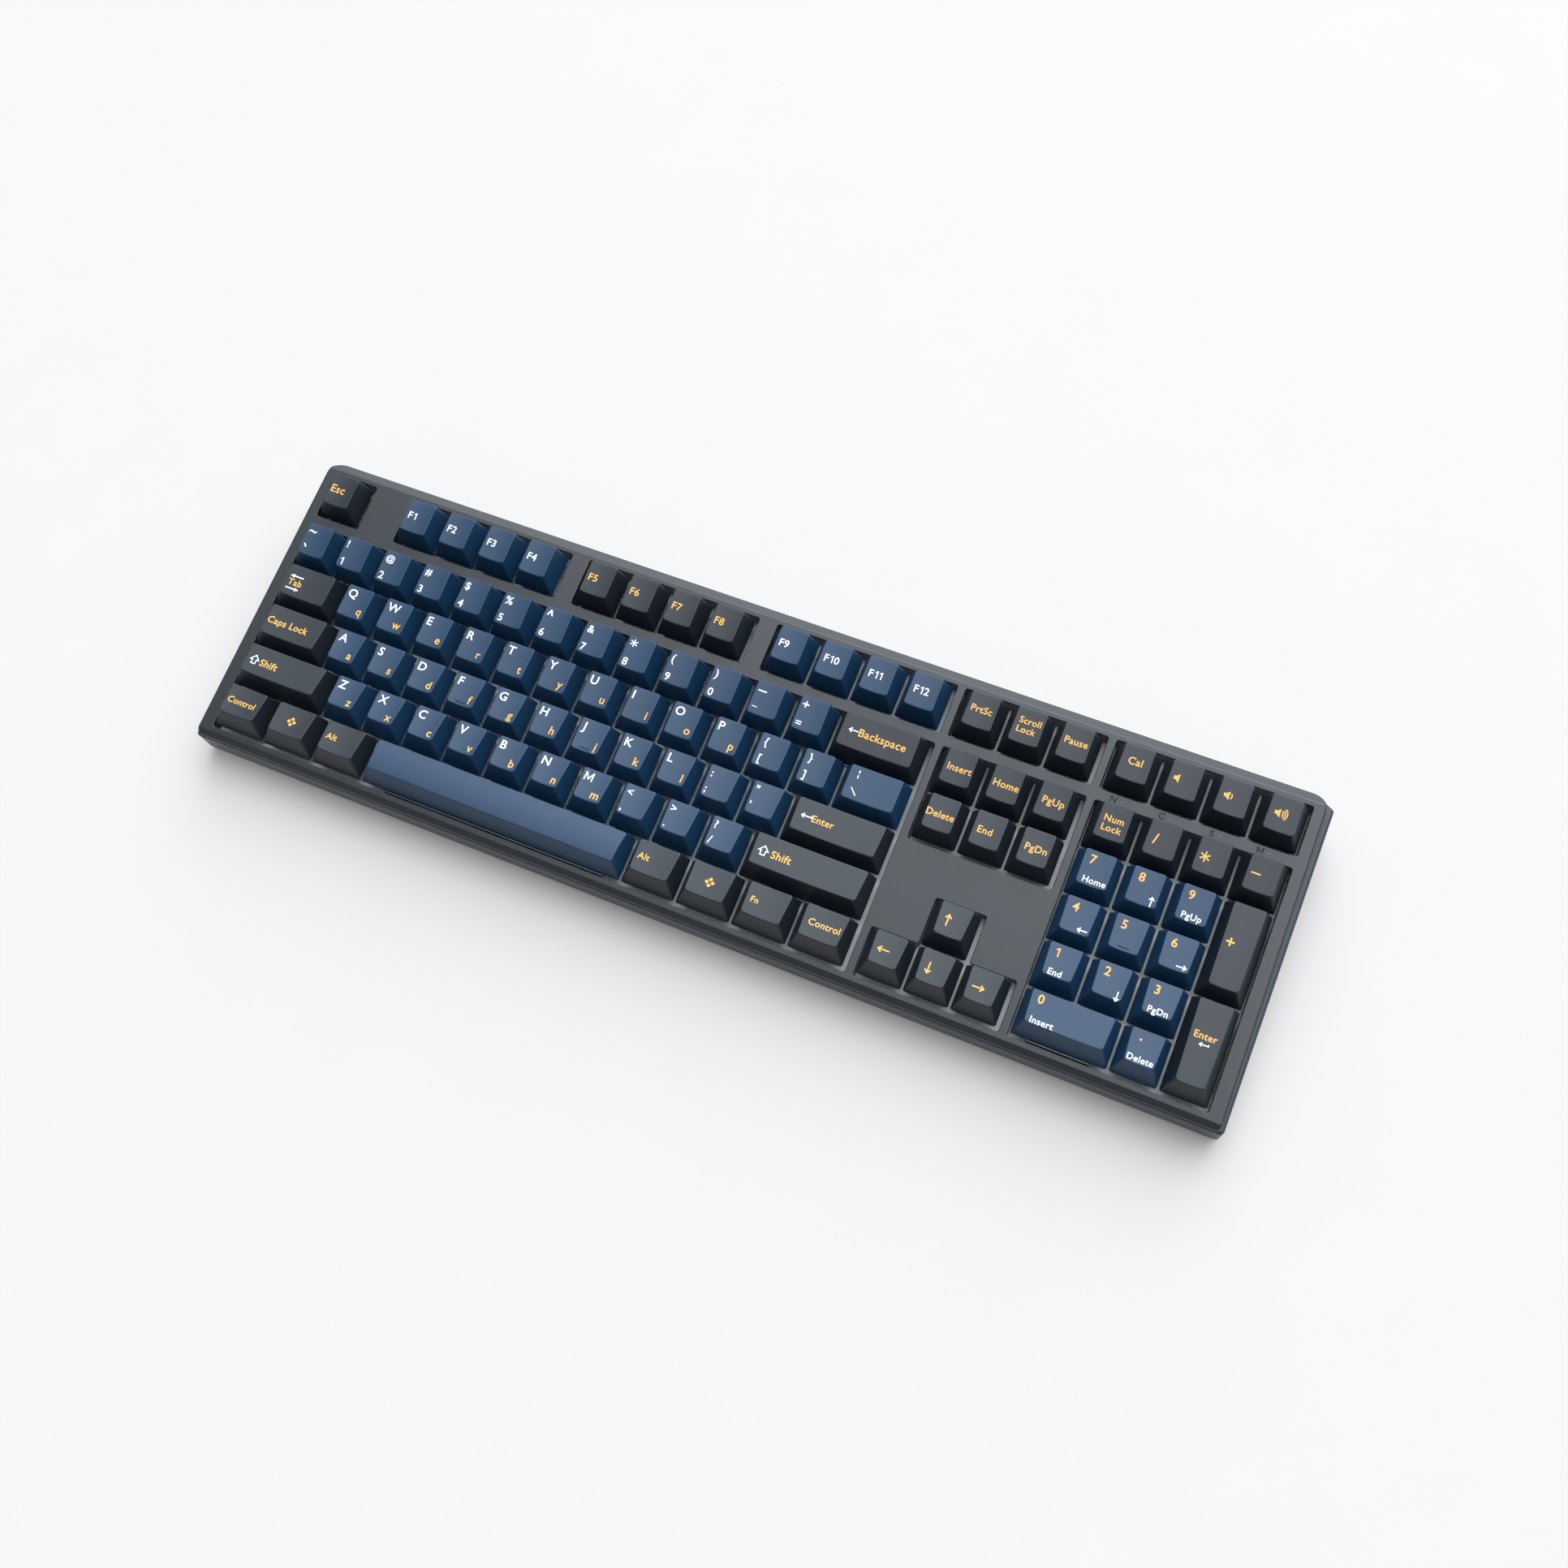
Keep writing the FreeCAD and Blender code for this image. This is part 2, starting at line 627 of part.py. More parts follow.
def bezel_height(y):
    """Case top above the plate."""
    return BEZEL_Z + math.tan(math.radians(BEZEL_ANGLE)) * y


def slopes(face, angle):
    """True for faces that look up and rise towards the back by angle."""
    tilt = math.radians(angle)
    return face.normalAt(0, 0).dot(Vector(0, -math.sin(tilt), math.cos(tilt))) > 0.99999


def make_top_case():
    high = CASE_BLOCK_TOP
    body = prism(((-TOP_HALF_FRONT, TOP_FRONT, TOP_FRONT_CORNER),
                  (TOP_HALF_FRONT, TOP_FRONT, TOP_FRONT_CORNER),
                  (TOP_HALF_BACK, TOP_BACK, TOP_BACK_CORNER), (-TOP_HALF_BACK, TOP_BACK, TOP_BACK_CORNER)),
                 LEDGE_Z, high)
    body = body.cut(slope_cut(0, BEZEL_Z, BEZEL_ANGLE))
    body = body.cut(slope_cut(BACK_RIDGE, bezel_height(BACK_RIDGE), -BACK_BEVEL_ANGLE))
    body = body.cut(slope_cut(FRONT_RIDGE, bezel_height(FRONT_RIDGE), FRONT_BEVEL_ANGLE))
    bevel = [f for f in body.Faces if slopes(f, FRONT_BEVEL_ANGLE)][0]
    body = body.makeFillet(FRONT_FILLET, [e for e in bevel.Edges if e.CenterOfMass.z < bevel.CenterOfMass.z])
    top_face = max((f for f in body.Faces if slopes(f, BEZEL_ANGLE)), key=lambda f: f.Area)
    body = body.makeFillet(TOP_FILLET, top_face.Edges)

    half_w = TOP_HALF_BACK - TOP_WALL
    hollow = rounded(-half_w, half_w, TOP_FRONT + TOP_WALL, TOP_BACK - TOP_WALL - 1.0,
                     LEDGE_Z, high, TOP_INNER_CORNER)
    hollow = hollow.cut(slope_cut(0, BEZEL_Z - TOP_SKIN, BEZEL_ANGLE))
    hollow = hollow.cut(slope_cut(BACK_RIDGE, bezel_height(BACK_RIDGE) - TOP_SKIN - 0.8, -BACK_BEVEL_ANGLE))
    body = body.cut(hollow)

    under_skin = slope_cut(0, BEZEL_Z - TOP_SKIN / 2, BEZEL_ANGLE)
    corner = CUTOUT_CORNER + CUTOUT_WALL
    walls = [cutout_shape(cutout, CUTOUT_WALL, CUTOUT_WALL_FOOT, high, corner).cut(under_skin)
             for cutout in CUTOUTS]
    posts = []
    for spot in BOSS_SPOTS:
        x, y = boss_spot(spot)
        posts.append(rod(TOP_BOSS_R, 0.0, high, x, y).cut(under_skin))
    lip_x = CASE_WIDTH / 2 - CASE_WALL - LIP_GAP
    lip_front = CASE_FRONT + CASE_FRONT_WALL + LIP_END_GAP
    lip_back = CASE_BACK - CASE_WALL - LIP_END_GAP
    low = LEDGE_Z - LIP_DEPTH
    lip = rounded(-lip_x, lip_x, lip_front, lip_back, low, LEDGE_Z + 0.4, CASE_INNER_CORNER)
    lip = lip.cut(rounded(-lip_x + LIP_WALL, lip_x - LIP_WALL, lip_front + LIP_WALL, lip_back - LIP_WALL,
                          low, LEDGE_Z + 0.4, CASE_INNER_CORNER - LIP_WALL))
    body = fuse_all(body, walls + posts + [lip])

    holes = [cutout_shape(cutout, 0.0, -1.0, high, CUTOUT_CORNER) for cutout in CUTOUTS]
    for spot in BOSS_SPOTS:
        x, y = boss_spot(spot)
        holes.append(rod(PILOT_R, -1.0, PILOT_TOP, x, y))
    for units in PIPE_UNITS:
        holes.append(rod(PIPE_HOLE_R, -1.0, high, unit_x(units), pipe_y()))
    body = body.cut(Part.makeCompound(holes))

    top_face = max((f for f in body.Faces if slopes(f, BEZEL_ANGLE)), key=lambda f: f.Area)
    rims = [w for w in top_face.Wires if not w.isSame(top_face.OuterWire) and w.Length > 4 * UNIT - 10]
    body = body.makeFillet(CUTOUT_FILLET, [e for w in rims for e in w.Edges])
    save("top_case", [place(body)])


def foot_pocket(x):
    """Solid tub wall and the space in it, for the pair of folding feet at x."""
    front = FOOT_HINGE_Y - TALL_FOOT[1] - TIP_THICK - POCKET_CLEAR[0]
    back = FOOT_HINGE_Y + FOOT_BARREL_R + POCKET_CLEAR[1]
    wide = POCKET_HALF_WIDTH
    wall = POCKET_WALL
    tub = block(x - wide - wall, x + wide + wall, front - wall, back + wall,
                CASE_BOTTOM_Z + OVERLAP, POCKET_CEILING_Z + POCKET_CEILING_THICK)
    space = block(x - wide, x + wide, front, back, CASE_BOTTOM_Z - 1, POCKET_CEILING_Z)
    reach = wide + HINGE_HOLE_DEPTH
    pins = rod_x(FOOT_PIN_R + FOOT_PIN_GAP, x - reach, x + reach, FOOT_HINGE_Y, FOOT_HINGE_Z)
    lugs = []
    for side in (-1, 1):
        x0, x1 = sorted((x + side * LUG[0], x + side * LUG[1]))
        lug = block(x0, x1, FOOT_HINGE_Y - FOOT_BARREL_R, back + OVERLAP,
                    FOOT_BOTTOM_Z, POCKET_CEILING_Z + OVERLAP)
        lugs.append(lug)
    reach = LUG[1] + 0.1
    lug_hole = rod_x(FOOT_PIN_R + FOOT_PIN_GAP, x - reach, x + reach, FOOT_HINGE_Y, FOOT_HINGE_Z)
    return tub, space, pins, lugs, lug_hole


def stadium(width, height, y0, y1, x, z):
    """Slot shape with round ends, running along Y."""
    r = height / 2
    half = width / 2 - r
    length = y1 - y0
    body = block(x - half, x + half, y0, y1, z - r, z + r)
    ends = [Part.makeCylinder(r, length, Vector(x + s * half, y0, z), Vector(0, 1, 0)) for s in (-1, 1)]
    return fuse_all(body, ends)


def make_bottom_case():
    half_w = CASE_WIDTH / 2
    high = 45.0
    above_ledge = place(slope_cut(0, LEDGE_Z, 0))
    corners = [(half_w, CASE_FRONT)] + list(CASE_BACK_CUT)
    corners += [(-x, y) for x, y in reversed(corners)]
    body = prism([(x, y, CASE_CORNER) for x, y in corners], CASE_BOTTOM_Z, high).cut(above_ledge)
    rim = [f for f in body.Faces if slopes(f, TYPING_ANGLE)][0]
    edges = [e for e in rim.Edges if e.CenterOfMass.y < CASE_BACK_CUT[0][1] - CASE_CORNER]
    body = body.makeChamfer(LEDGE_CHAMFER, edges)
    base = [f for f in body.Faces if abs(f.BoundBox.ZMax - CASE_BOTTOM_Z) < 1e-6][0]
    body = body.makeChamfer(BOTTOM_CHAMFER, base.Edges)

    hollow = rounded(-half_w + CASE_WALL, half_w - CASE_WALL, CASE_FRONT + CASE_FRONT_WALL,
                     CASE_BACK - CASE_WALL, CASE_BOTTOM_Z + CASE_FLOOR, high, CASE_INNER_CORNER)
    body = body.cut(hollow)

    added = []
    cuts = []
    board_low = BOARD_TOP - BOARD_THICK
    under_floor = slope_cut(0, CASE_BOTTOM_Z + OVERLAP, 180)
    for spot in BOSS_SPOTS:
        x, y = boss_spot(spot)
        added.append(place(rod(BOSS_R, -40, board_low, x, y)).cut(under_floor))
        cuts.append(place(rod(SCREW_HEAD_R + 0.3, -40, BOSS_SEAT_Z, x, y)))
        cuts.append(place(rod(SCREW_HOLE_R, -40, board_low + 1, x, y)))
    lugs = []
    lug_holes = []
    for x in (-FOOT_X, FOOT_X):
        tub, space, pins, pair, lug_hole = foot_pocket(x)
        added.append(tub)
        cuts += [space, pins]
        lugs += pair
        lug_holes.append(lug_hole)
    wide, deep, thick = SOCKET_BOARD
    board_z = SOCKET_Z - SOCKET_SIZE[1] / 2 - thick
    board_back = CASE_BACK - CASE_WALL - BOARD_WALL_GAP
    for side in (-1, 1):
        x = SOCKET_X + side * SOCKET_POSTS[0]
        added.append(rod(SOCKET_POSTS[1], CASE_BOTTOM_Z + OVERLAP, board_z, x, board_back - deep / 2))
    wide, tall = (size + SOCKET_GAP for size in SOCKET_SIZE[:2])
    cuts.append(stadium(wide, tall, CASE_BACK - 10, CASE_BACK + 1, SOCKET_X, SOCKET_Z))
    cuts.append(stadium(*SOCKET_OPENING, SOCKET_MOUTH_Y, CASE_BACK + 1, SOCKET_X, SOCKET_Z))
    for x, y in PAD_SPOTS:
        cuts.append(pad(x, y))
    body = fuse_all(body, added).cut(Part.makeCompound(cuts))
    body = body.fuse(lugs).cut(Part.makeCompound(lug_holes))
    save("bottom_case", [body])


def pad(x, y):
    wide, deep = PAD_SIZE
    return rounded(x - wide / 2, x + wide / 2, y - deep / 2, y + deep / 2, 0.0, PAD_TOP_Z, deep / 2 - 0.1)


def make_case_details():
    save("rubber_pads", [pad(x, y) for x, y in PAD_SPOTS])

    screws = []
    for spot in BOSS_SPOTS:
        x, y = boss_spot(spot)
        head = rod(SCREW_HEAD_R, BOSS_SEAT_Z - SCREW_HEAD_HIGH, BOSS_SEAT_Z, x, y)
        drive = cross(0.0, BOSS_SEAT_Z - SCREW_HEAD_HIGH, BOSS_SEAT_Z - SCREW_HEAD_HIGH + 1.0, x, y)
        shank = rod(SCREW_R, BOSS_SEAT_Z, PILOT_TOP - 0.4, x, y)
        screws.append(place(fuse_all(head.cut(drive), [shank])))
    save("case_screws", screws)

    floor = CASE_BOTTOM_Z + CASE_FLOOR
    mat = rounded(-MAT_HALF_WIDTH, MAT_HALF_WIDTH, *MAT_ENDS, floor, floor + MAT_THICK, CASE_INNER_CORNER)
    holes = []
    for spot in BOSS_SPOTS:
        x, y = boss_spot(spot)
        holes.append(place(rod(BOSS_R + 1.0, -40, 0, x, y)))
    save("damping_mat", [mat.cut(Part.makeCompound(holes))])


def make_socket():
    wide, high, long = SOCKET_SIZE
    back = SOCKET_MOUTH_Y
    shell = stadium(wide, high, back - long, back, SOCKET_X, SOCKET_Z)
    room = stadium(wide - 2 * SOCKET_WALL, high - 2 * SOCKET_WALL, back - long + 1.0, back,
                   SOCKET_X, SOCKET_Z)
    half, thick = (size / 2 for size in SOCKET_TONGUE)
    tongue = block(SOCKET_X - half, SOCKET_X + half, back - long + 0.5, back - 1.0,
                   SOCKET_Z - thick, SOCKET_Z + thick)
    save("usb_socket", [fuse_all(shell.cut(room), [tongue])])
    wide, deep, thick = SOCKET_BOARD
    board_z = SOCKET_Z - high / 2 - thick
    board_back = CASE_BACK - CASE_WALL - BOARD_WALL_GAP
    board = block(SOCKET_X - wide / 2, SOCKET_X + wide / 2, board_back - deep, board_back,
                  board_z, board_z + thick)
    save("usb_board", [board])


# ---- folding feet ----
def foot_arm(x0, x1, length):
    """Slab from the hinge barrel forward, lying folded."""
    y0 = FOOT_HINGE_Y - length
    slab = block(x0, x1, y0, FOOT_HINGE_Y, FOOT_BOTTOM_Z, FOOT_TOP_Z)
    barrel = rod_x(FOOT_BARREL_R, x0, x1, FOOT_HINGE_Y, FOOT_HINGE_Z)
    return slab.fuse(barrel)


def tip(x0, x1, length):
    y0 = FOOT_HINGE_Y - length - TIP_THICK
    return block(x0, x1, y0, y0 + TIP_THICK, FOOT_BOTTOM_Z + TIP_INSET, FOOT_TOP_Z - TIP_INSET)


def make_feet():
    half, length, window_half, window_long = TALL_FOOT
    short_half, short_long = SHORT_FOOT
    reach = POCKET_HALF_WIDTH + HINGE_HOLE_DEPTH - HINGE_PIN_END
    for side, x in (("left", -FOOT_X), ("right", FOOT_X)):
        frame = foot_arm(x - half, x + half, length)
        window = block(x - window_half, x + window_half, FOOT_HINGE_Y - window_long,
                       FOOT_HINGE_Y + 2 * FOOT_BARREL_R, 0, FOOT_TOP_Z + 2 * FOOT_BARREL_R)
        frame = frame.cut(window).removeSplitter()
        pins = [rod_x(FOOT_PIN_R, x - reach, x - half + 1, FOOT_HINGE_Y, FOOT_HINGE_Z),
                rod_x(FOOT_PIN_R, x + half - 1, x + reach, FOOT_HINGE_Y, FOOT_HINGE_Z)]
        save(side + "_tall_foot", [fuse_all(frame, pins), tip(x - half + 3, x + half - 3, length)])
        flap = foot_arm(x - short_half, x + short_half, short_long).removeSplitter()
        pin_half = LUG[1] - TIP_INSET
        pin = rod_x(FOOT_PIN_R, x - pin_half, x + pin_half, FOOT_HINGE_Y, FOOT_HINGE_Z)
        pad = tip(x - short_half + 2, x + short_half - 2, short_long)
        save(side + "_short_foot", [fuse_all(flap, [pin]), pad])


os.makedirs("parts", exist_ok=True)
make_keys()
make_switches()
make_stabilisers()
make_plate()
make_board()
make_indicator_pipes()
make_top_case()
make_bottom_case()
make_case_details()
make_socket()
make_feet()
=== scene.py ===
"""Looks for a full-size mechanical keyboard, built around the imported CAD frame."""

import json
import math

import bmesh
import bpy
from mathutils import Euler, Matrix, Vector


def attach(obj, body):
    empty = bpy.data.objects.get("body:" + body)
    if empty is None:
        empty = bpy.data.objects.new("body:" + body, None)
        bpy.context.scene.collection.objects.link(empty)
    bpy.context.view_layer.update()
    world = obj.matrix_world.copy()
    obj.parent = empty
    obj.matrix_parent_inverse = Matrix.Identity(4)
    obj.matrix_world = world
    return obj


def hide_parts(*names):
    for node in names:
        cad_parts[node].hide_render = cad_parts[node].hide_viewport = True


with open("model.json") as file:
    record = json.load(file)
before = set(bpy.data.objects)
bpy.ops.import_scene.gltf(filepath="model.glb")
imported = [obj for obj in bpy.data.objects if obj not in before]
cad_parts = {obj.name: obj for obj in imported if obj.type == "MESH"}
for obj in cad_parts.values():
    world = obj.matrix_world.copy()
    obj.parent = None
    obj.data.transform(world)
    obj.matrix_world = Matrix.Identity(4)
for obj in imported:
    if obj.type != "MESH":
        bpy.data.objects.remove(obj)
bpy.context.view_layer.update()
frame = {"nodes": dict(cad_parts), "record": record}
nodes = frame["nodes"]

# ---- driving dimensions, in millimetres, in the switch plate's own tilted frame ----
MM = 0.001
UNIT = 19.05
FIELD_WIDTH = 22.5 * UNIT
ROW_GAP = 5.4
FIELD_DEPTH = 6 * UNIT + ROW_GAP
TYPING_ANGLE = math.radians(5.0)
PLATE_HEIGHT = 19.0
BEZEL_ANGLE = math.radians(1.0)
BEZEL_Z = 7.55

CAP_GAP = 0.9
CAP_SKIRT_Z = 6.2
CAP_SIDE_INSET = 3.15
CAP_WALL = 1.3
SKIRT_CORNER = 0.8
TOP_CORNER = 1.15
EDGE_ROUND = 0.32
DISH_DEPTH = 0.42
CROWN_DEPTH = 0.55
CORNER_STEPS = 6
EDGE_STEPS = 4
# profile: height at the middle of the top face, tilt (front edge up), back inset, front inset
PROFILES = {
    "far": (9.5, -1.5, 0.35, 4.0),
    "upper": (7.9, 2.0, 0.4, 3.9),
    "home": (7.3, 6.0, 0.4, 4.0),
    "near": (7.8, 8.5, 0.2, 4.6),
    "upper_tall": (7.7, 2.0, 0.4, 4.0),
    "near_tall": (7.7, 4.0, 0.3, 4.4),
}
ROW_PROFILE = ("far", "far", "upper", "home", "near", "near")

# moving parts under a cap: half sizes and heights over the plate
FLANGE = (4.3, 3.8, 3.4, 5.4)
SHAFT = (3.0, 2.2, 5.4, 6.8)
CROSS = (2.0, 0.6, 6.8, 10.2)
POLE_R = 1.5
POLE_FOOT = 0.8
STEM_R = 2.75
STEM_FOOT = 6.85
STEM_TOP_INSET = 1.4
STABILISER_SLIDER = (2.0, 2.0, 1.0, 11.4)
STABILISER_REACH = {2: 11.94, 2.25: 11.94, 2.75: 11.94, 6.25: 50.0}

HOMING_HALF = 1.9
HOMING_R = 0.3
HOMING_FROM_EDGE = 1.7

# letters beside the indicator lights, and each light's place in units
INDICATORS = (("N", 19.0), ("C", 20.0), ("S", 21.0), ("M", 22.0))
INDICATOR_LETTER = 2.6
INDICATOR_GAP = 2.1
ENGRAVING_TOP = 0.02
ENGRAVING_DEPTH = 0.2

LEGEND_PROUD = 0.03
LEGEND_DEPTH = 0.14
LAYER_STEP = 0.02           # keeps the overlapping strokes of a sign at different heights
TEXT_MARGIN = 0.5

PLATE = (Matrix.Translation((0, 0, PLATE_HEIGHT * MM)) @ Matrix.Rotation(TYPING_ANGLE, 4, "X")
         @ Matrix.Scale(MM, 4))


def unit_x(units):
    return units * UNIT - FIELD_WIDTH / 2


def row_back(row):
    return FIELD_DEPTH / 2 - row * UNIT - (ROW_GAP if row > 0 else 0)


# ---- materials ----
def shader(name, color, roughness, metallic=0.0):
    mat = bpy.data.materials.new(name)
    mat.use_nodes = True
    bsdf = mat.node_tree.nodes["Principled BSDF"]
    bsdf.inputs["Base Color"].default_value = (*color, 1)
    bsdf.inputs["Roughness"].default_value = roughness
    bsdf.inputs["Metallic"].default_value = metallic
    return mat, bsdf


def moulded(name, color, roughness, grain=900.0, bump=0.15, depth=0.00005, mottle=0.08):
    """Moulded or coated surface: fine grain in the bump and roughness, and a faint drift of colour."""
    mat, bsdf = shader(name, color, roughness)
    tree = mat.node_tree
    new = tree.nodes.new
    link = tree.links.new
    place = new("ShaderNodeTexCoord").outputs["Object"]

    fine = new("ShaderNodeTexNoise")
    fine.inputs["Scale"].default_value = grain
    fine.inputs["Detail"].default_value = 3.0
    fine.inputs["Roughness"].default_value = 0.6
    link(place, fine.inputs["Vector"])

    broad = new("ShaderNodeTexNoise")
    broad.inputs["Scale"].default_value = 28.0
    broad.inputs["Detail"].default_value = 4.0
    link(place, broad.inputs["Vector"])

    tint = new("ShaderNodeMix")
    tint.data_type = "RGBA"
    tint.inputs["A"].default_value = (*[c * (1 - mottle) for c in color], 1)
    tint.inputs["B"].default_value = (*[min(1.0, c * (1 + mottle)) for c in color], 1)
    link(broad.outputs["Fac"], tint.inputs["Factor"])
    link(tint.outputs["Result"], bsdf.inputs["Base Color"])

    rough = new("ShaderNodeMapRange")
    rough.inputs["To Min"].default_value = roughness - 0.06
    rough.inputs["To Max"].default_value = roughness + 0.06
    link(fine.outputs["Fac"], rough.inputs["Value"])
    link(rough.outputs["Result"], bsdf.inputs["Roughness"])

    relief = new("ShaderNodeBump")
    relief.inputs["Strength"].default_value = bump
    relief.inputs["Distance"].default_value = depth
    link(fine.outputs["Fac"], relief.inputs["Height"])
    link(relief.outputs["Normal"], bsdf.inputs["Normal"])
    return mat


def brushed(name, color, roughness, stretch=(40.0, 900.0, 900.0)):
    """Drawn or rolled metal with fine parallel marks."""
    mat, bsdf = shader(name, color, roughness, 1.0)
    tree = mat.node_tree
    new = tree.nodes.new
    link = tree.links.new
    scale = new("ShaderNodeMapping")
    scale.inputs["Scale"].default_value = stretch
    link(new("ShaderNodeTexCoord").outputs["Object"], scale.inputs["Vector"])
    marks = new("ShaderNodeTexNoise")
    marks.inputs["Scale"].default_value = 1.0
    marks.inputs["Detail"].default_value = 4.0
    link(scale.outputs["Vector"], marks.inputs["Vector"])
    rough = new("ShaderNodeMapRange")
    rough.inputs["To Min"].default_value = roughness - 0.1
    rough.inputs["To Max"].default_value = roughness + 0.1
    link(marks.outputs["Fac"], rough.inputs["Value"])
    link(rough.outputs["Result"], bsdf.inputs["Roughness"])
    relief = new("ShaderNodeBump")
    relief.inputs["Strength"].default_value = 0.1
    relief.inputs["Distance"].default_value = 0.00003
    link(marks.outputs["Fac"], relief.inputs["Height"])
    link(relief.outputs["Normal"], bsdf.inputs["Normal"])
    return mat


def milky(name, color, roughness, transmission):
    """Clear or frosted plastic, with faint flow marks."""
    mat = moulded(name, color, roughness, grain=400.0, bump=0.05, mottle=0.03)
    bsdf = mat.node_tree.nodes["Principled BSDF"]
    bsdf.inputs["Transmission Weight"].default_value = transmission
    bsdf.inputs["IOR"].default_value = 1.49
    return mat


NAVY = (0.005, 0.033, 0.080)
DARK = (0.010, 0.014, 0.020)
MATERIALS = {
    "keycap_navy": moulded("keycap_navy", NAVY, 0.46, grain=2600, bump=0.25, mottle=0.06),
    "keycap_dark": moulded("keycap_dark", DARK, 0.46, grain=2600, bump=0.25, mottle=0.06),
    "case_top": moulded("case_top", (0.020, 0.023, 0.027), 0.32, grain=1800, bump=0.2, mottle=0.05),
    "case_bottom": moulded("case_bottom", (0.030, 0.037, 0.048), 0.42, grain=1800, bump=0.2, mottle=0.05),
    "plate_steel": moulded("plate_steel", (0.82, 0.82, 0.81), 0.5, grain=1400, bump=0.2, mottle=0.03),
    "board": moulded("board", (0.012, 0.03, 0.02), 0.35, grain=500, bump=0.1, mottle=0.2),
    "rubber": moulded("rubber", (0.018, 0.018, 0.018), 0.8, grain=1500, bump=0.4, mottle=0.15),
    "switch_housing": milky("switch_housing", (0.90, 0.91, 0.92), 0.3, 0.35),
    "spring_steel": brushed("spring_steel", (0.62, 0.61, 0.6), 0.3),
    "pins": brushed("pins", (0.78, 0.6, 0.3), 0.3),
    "stabiliser": moulded("stabiliser", (0.02, 0.02, 0.022), 0.4, grain=900, bump=0.15, mottle=0.1),
    "socket": brushed("socket", (0.6, 0.6, 0.62), 0.3),
    "chip": moulded("chip", (0.012, 0.012, 0.013), 0.6, grain=1200, bump=0.3, mottle=0.1),
    "light_pipe": milky("light_pipe", (0.08, 0.08, 0.08), 0.25, 0.3),
    "screw": brushed("screw", (0.16, 0.16, 0.165), 0.35),
    "foot": moulded("foot", (0.022, 0.025, 0.031), 0.45, grain=1500, bump=0.2, mottle=0.08),
}
LEGEND_WHITE = moulded("legend_white", (0.78, 0.79, 0.79), 0.5, grain=2600, bump=0.15, mottle=0.02)
LEGEND_YELLOW = moulded("legend_yellow", (0.80, 0.42, 0.07), 0.5, grain=2600, bump=0.15, mottle=0.02)
ENGRAVED = moulded("engraved", (0.006, 0.006, 0.007), 0.7, grain=2000, bump=0.1, mottle=0.05)


# ---- keycaps ----
def rounded_ring(x0, x1, y0, y1, radius, steps_x, steps_y):
    """Points round a rectangle with round corners, starting at the front right corner, anticlockwise."""
    points = []
    corners = ((x1, y0, -90, steps_y), (x1, y1, 0, steps_x), (x0, y1, 90, steps_y), (x0, y0, 180, steps_x))
    for x, y, start, steps in corners:
        cx = x - math.copysign(radius, x - (x0 + x1) / 2)
        cy = y - math.copysign(radius, y - (y0 + y1) / 2)
        arc = []
        for i in range(CORNER_STEPS + 1):
            a = math.radians(start + 90 * i / CORNER_STEPS)
            arc.append((cx + radius * math.cos(a), cy + radius * math.sin(a)))
        points.append((arc, steps))
    ring = []
    for i, (arc, steps) in enumerate(points):
        ring += arc
        ax, ay = arc[-1]
        bx, by = points[(i + 1) % 4][0][0]
        ring += [(ax + (bx - ax) * j / steps, ay + (by - ay) * j / steps) for j in range(1, steps)]
    return ring


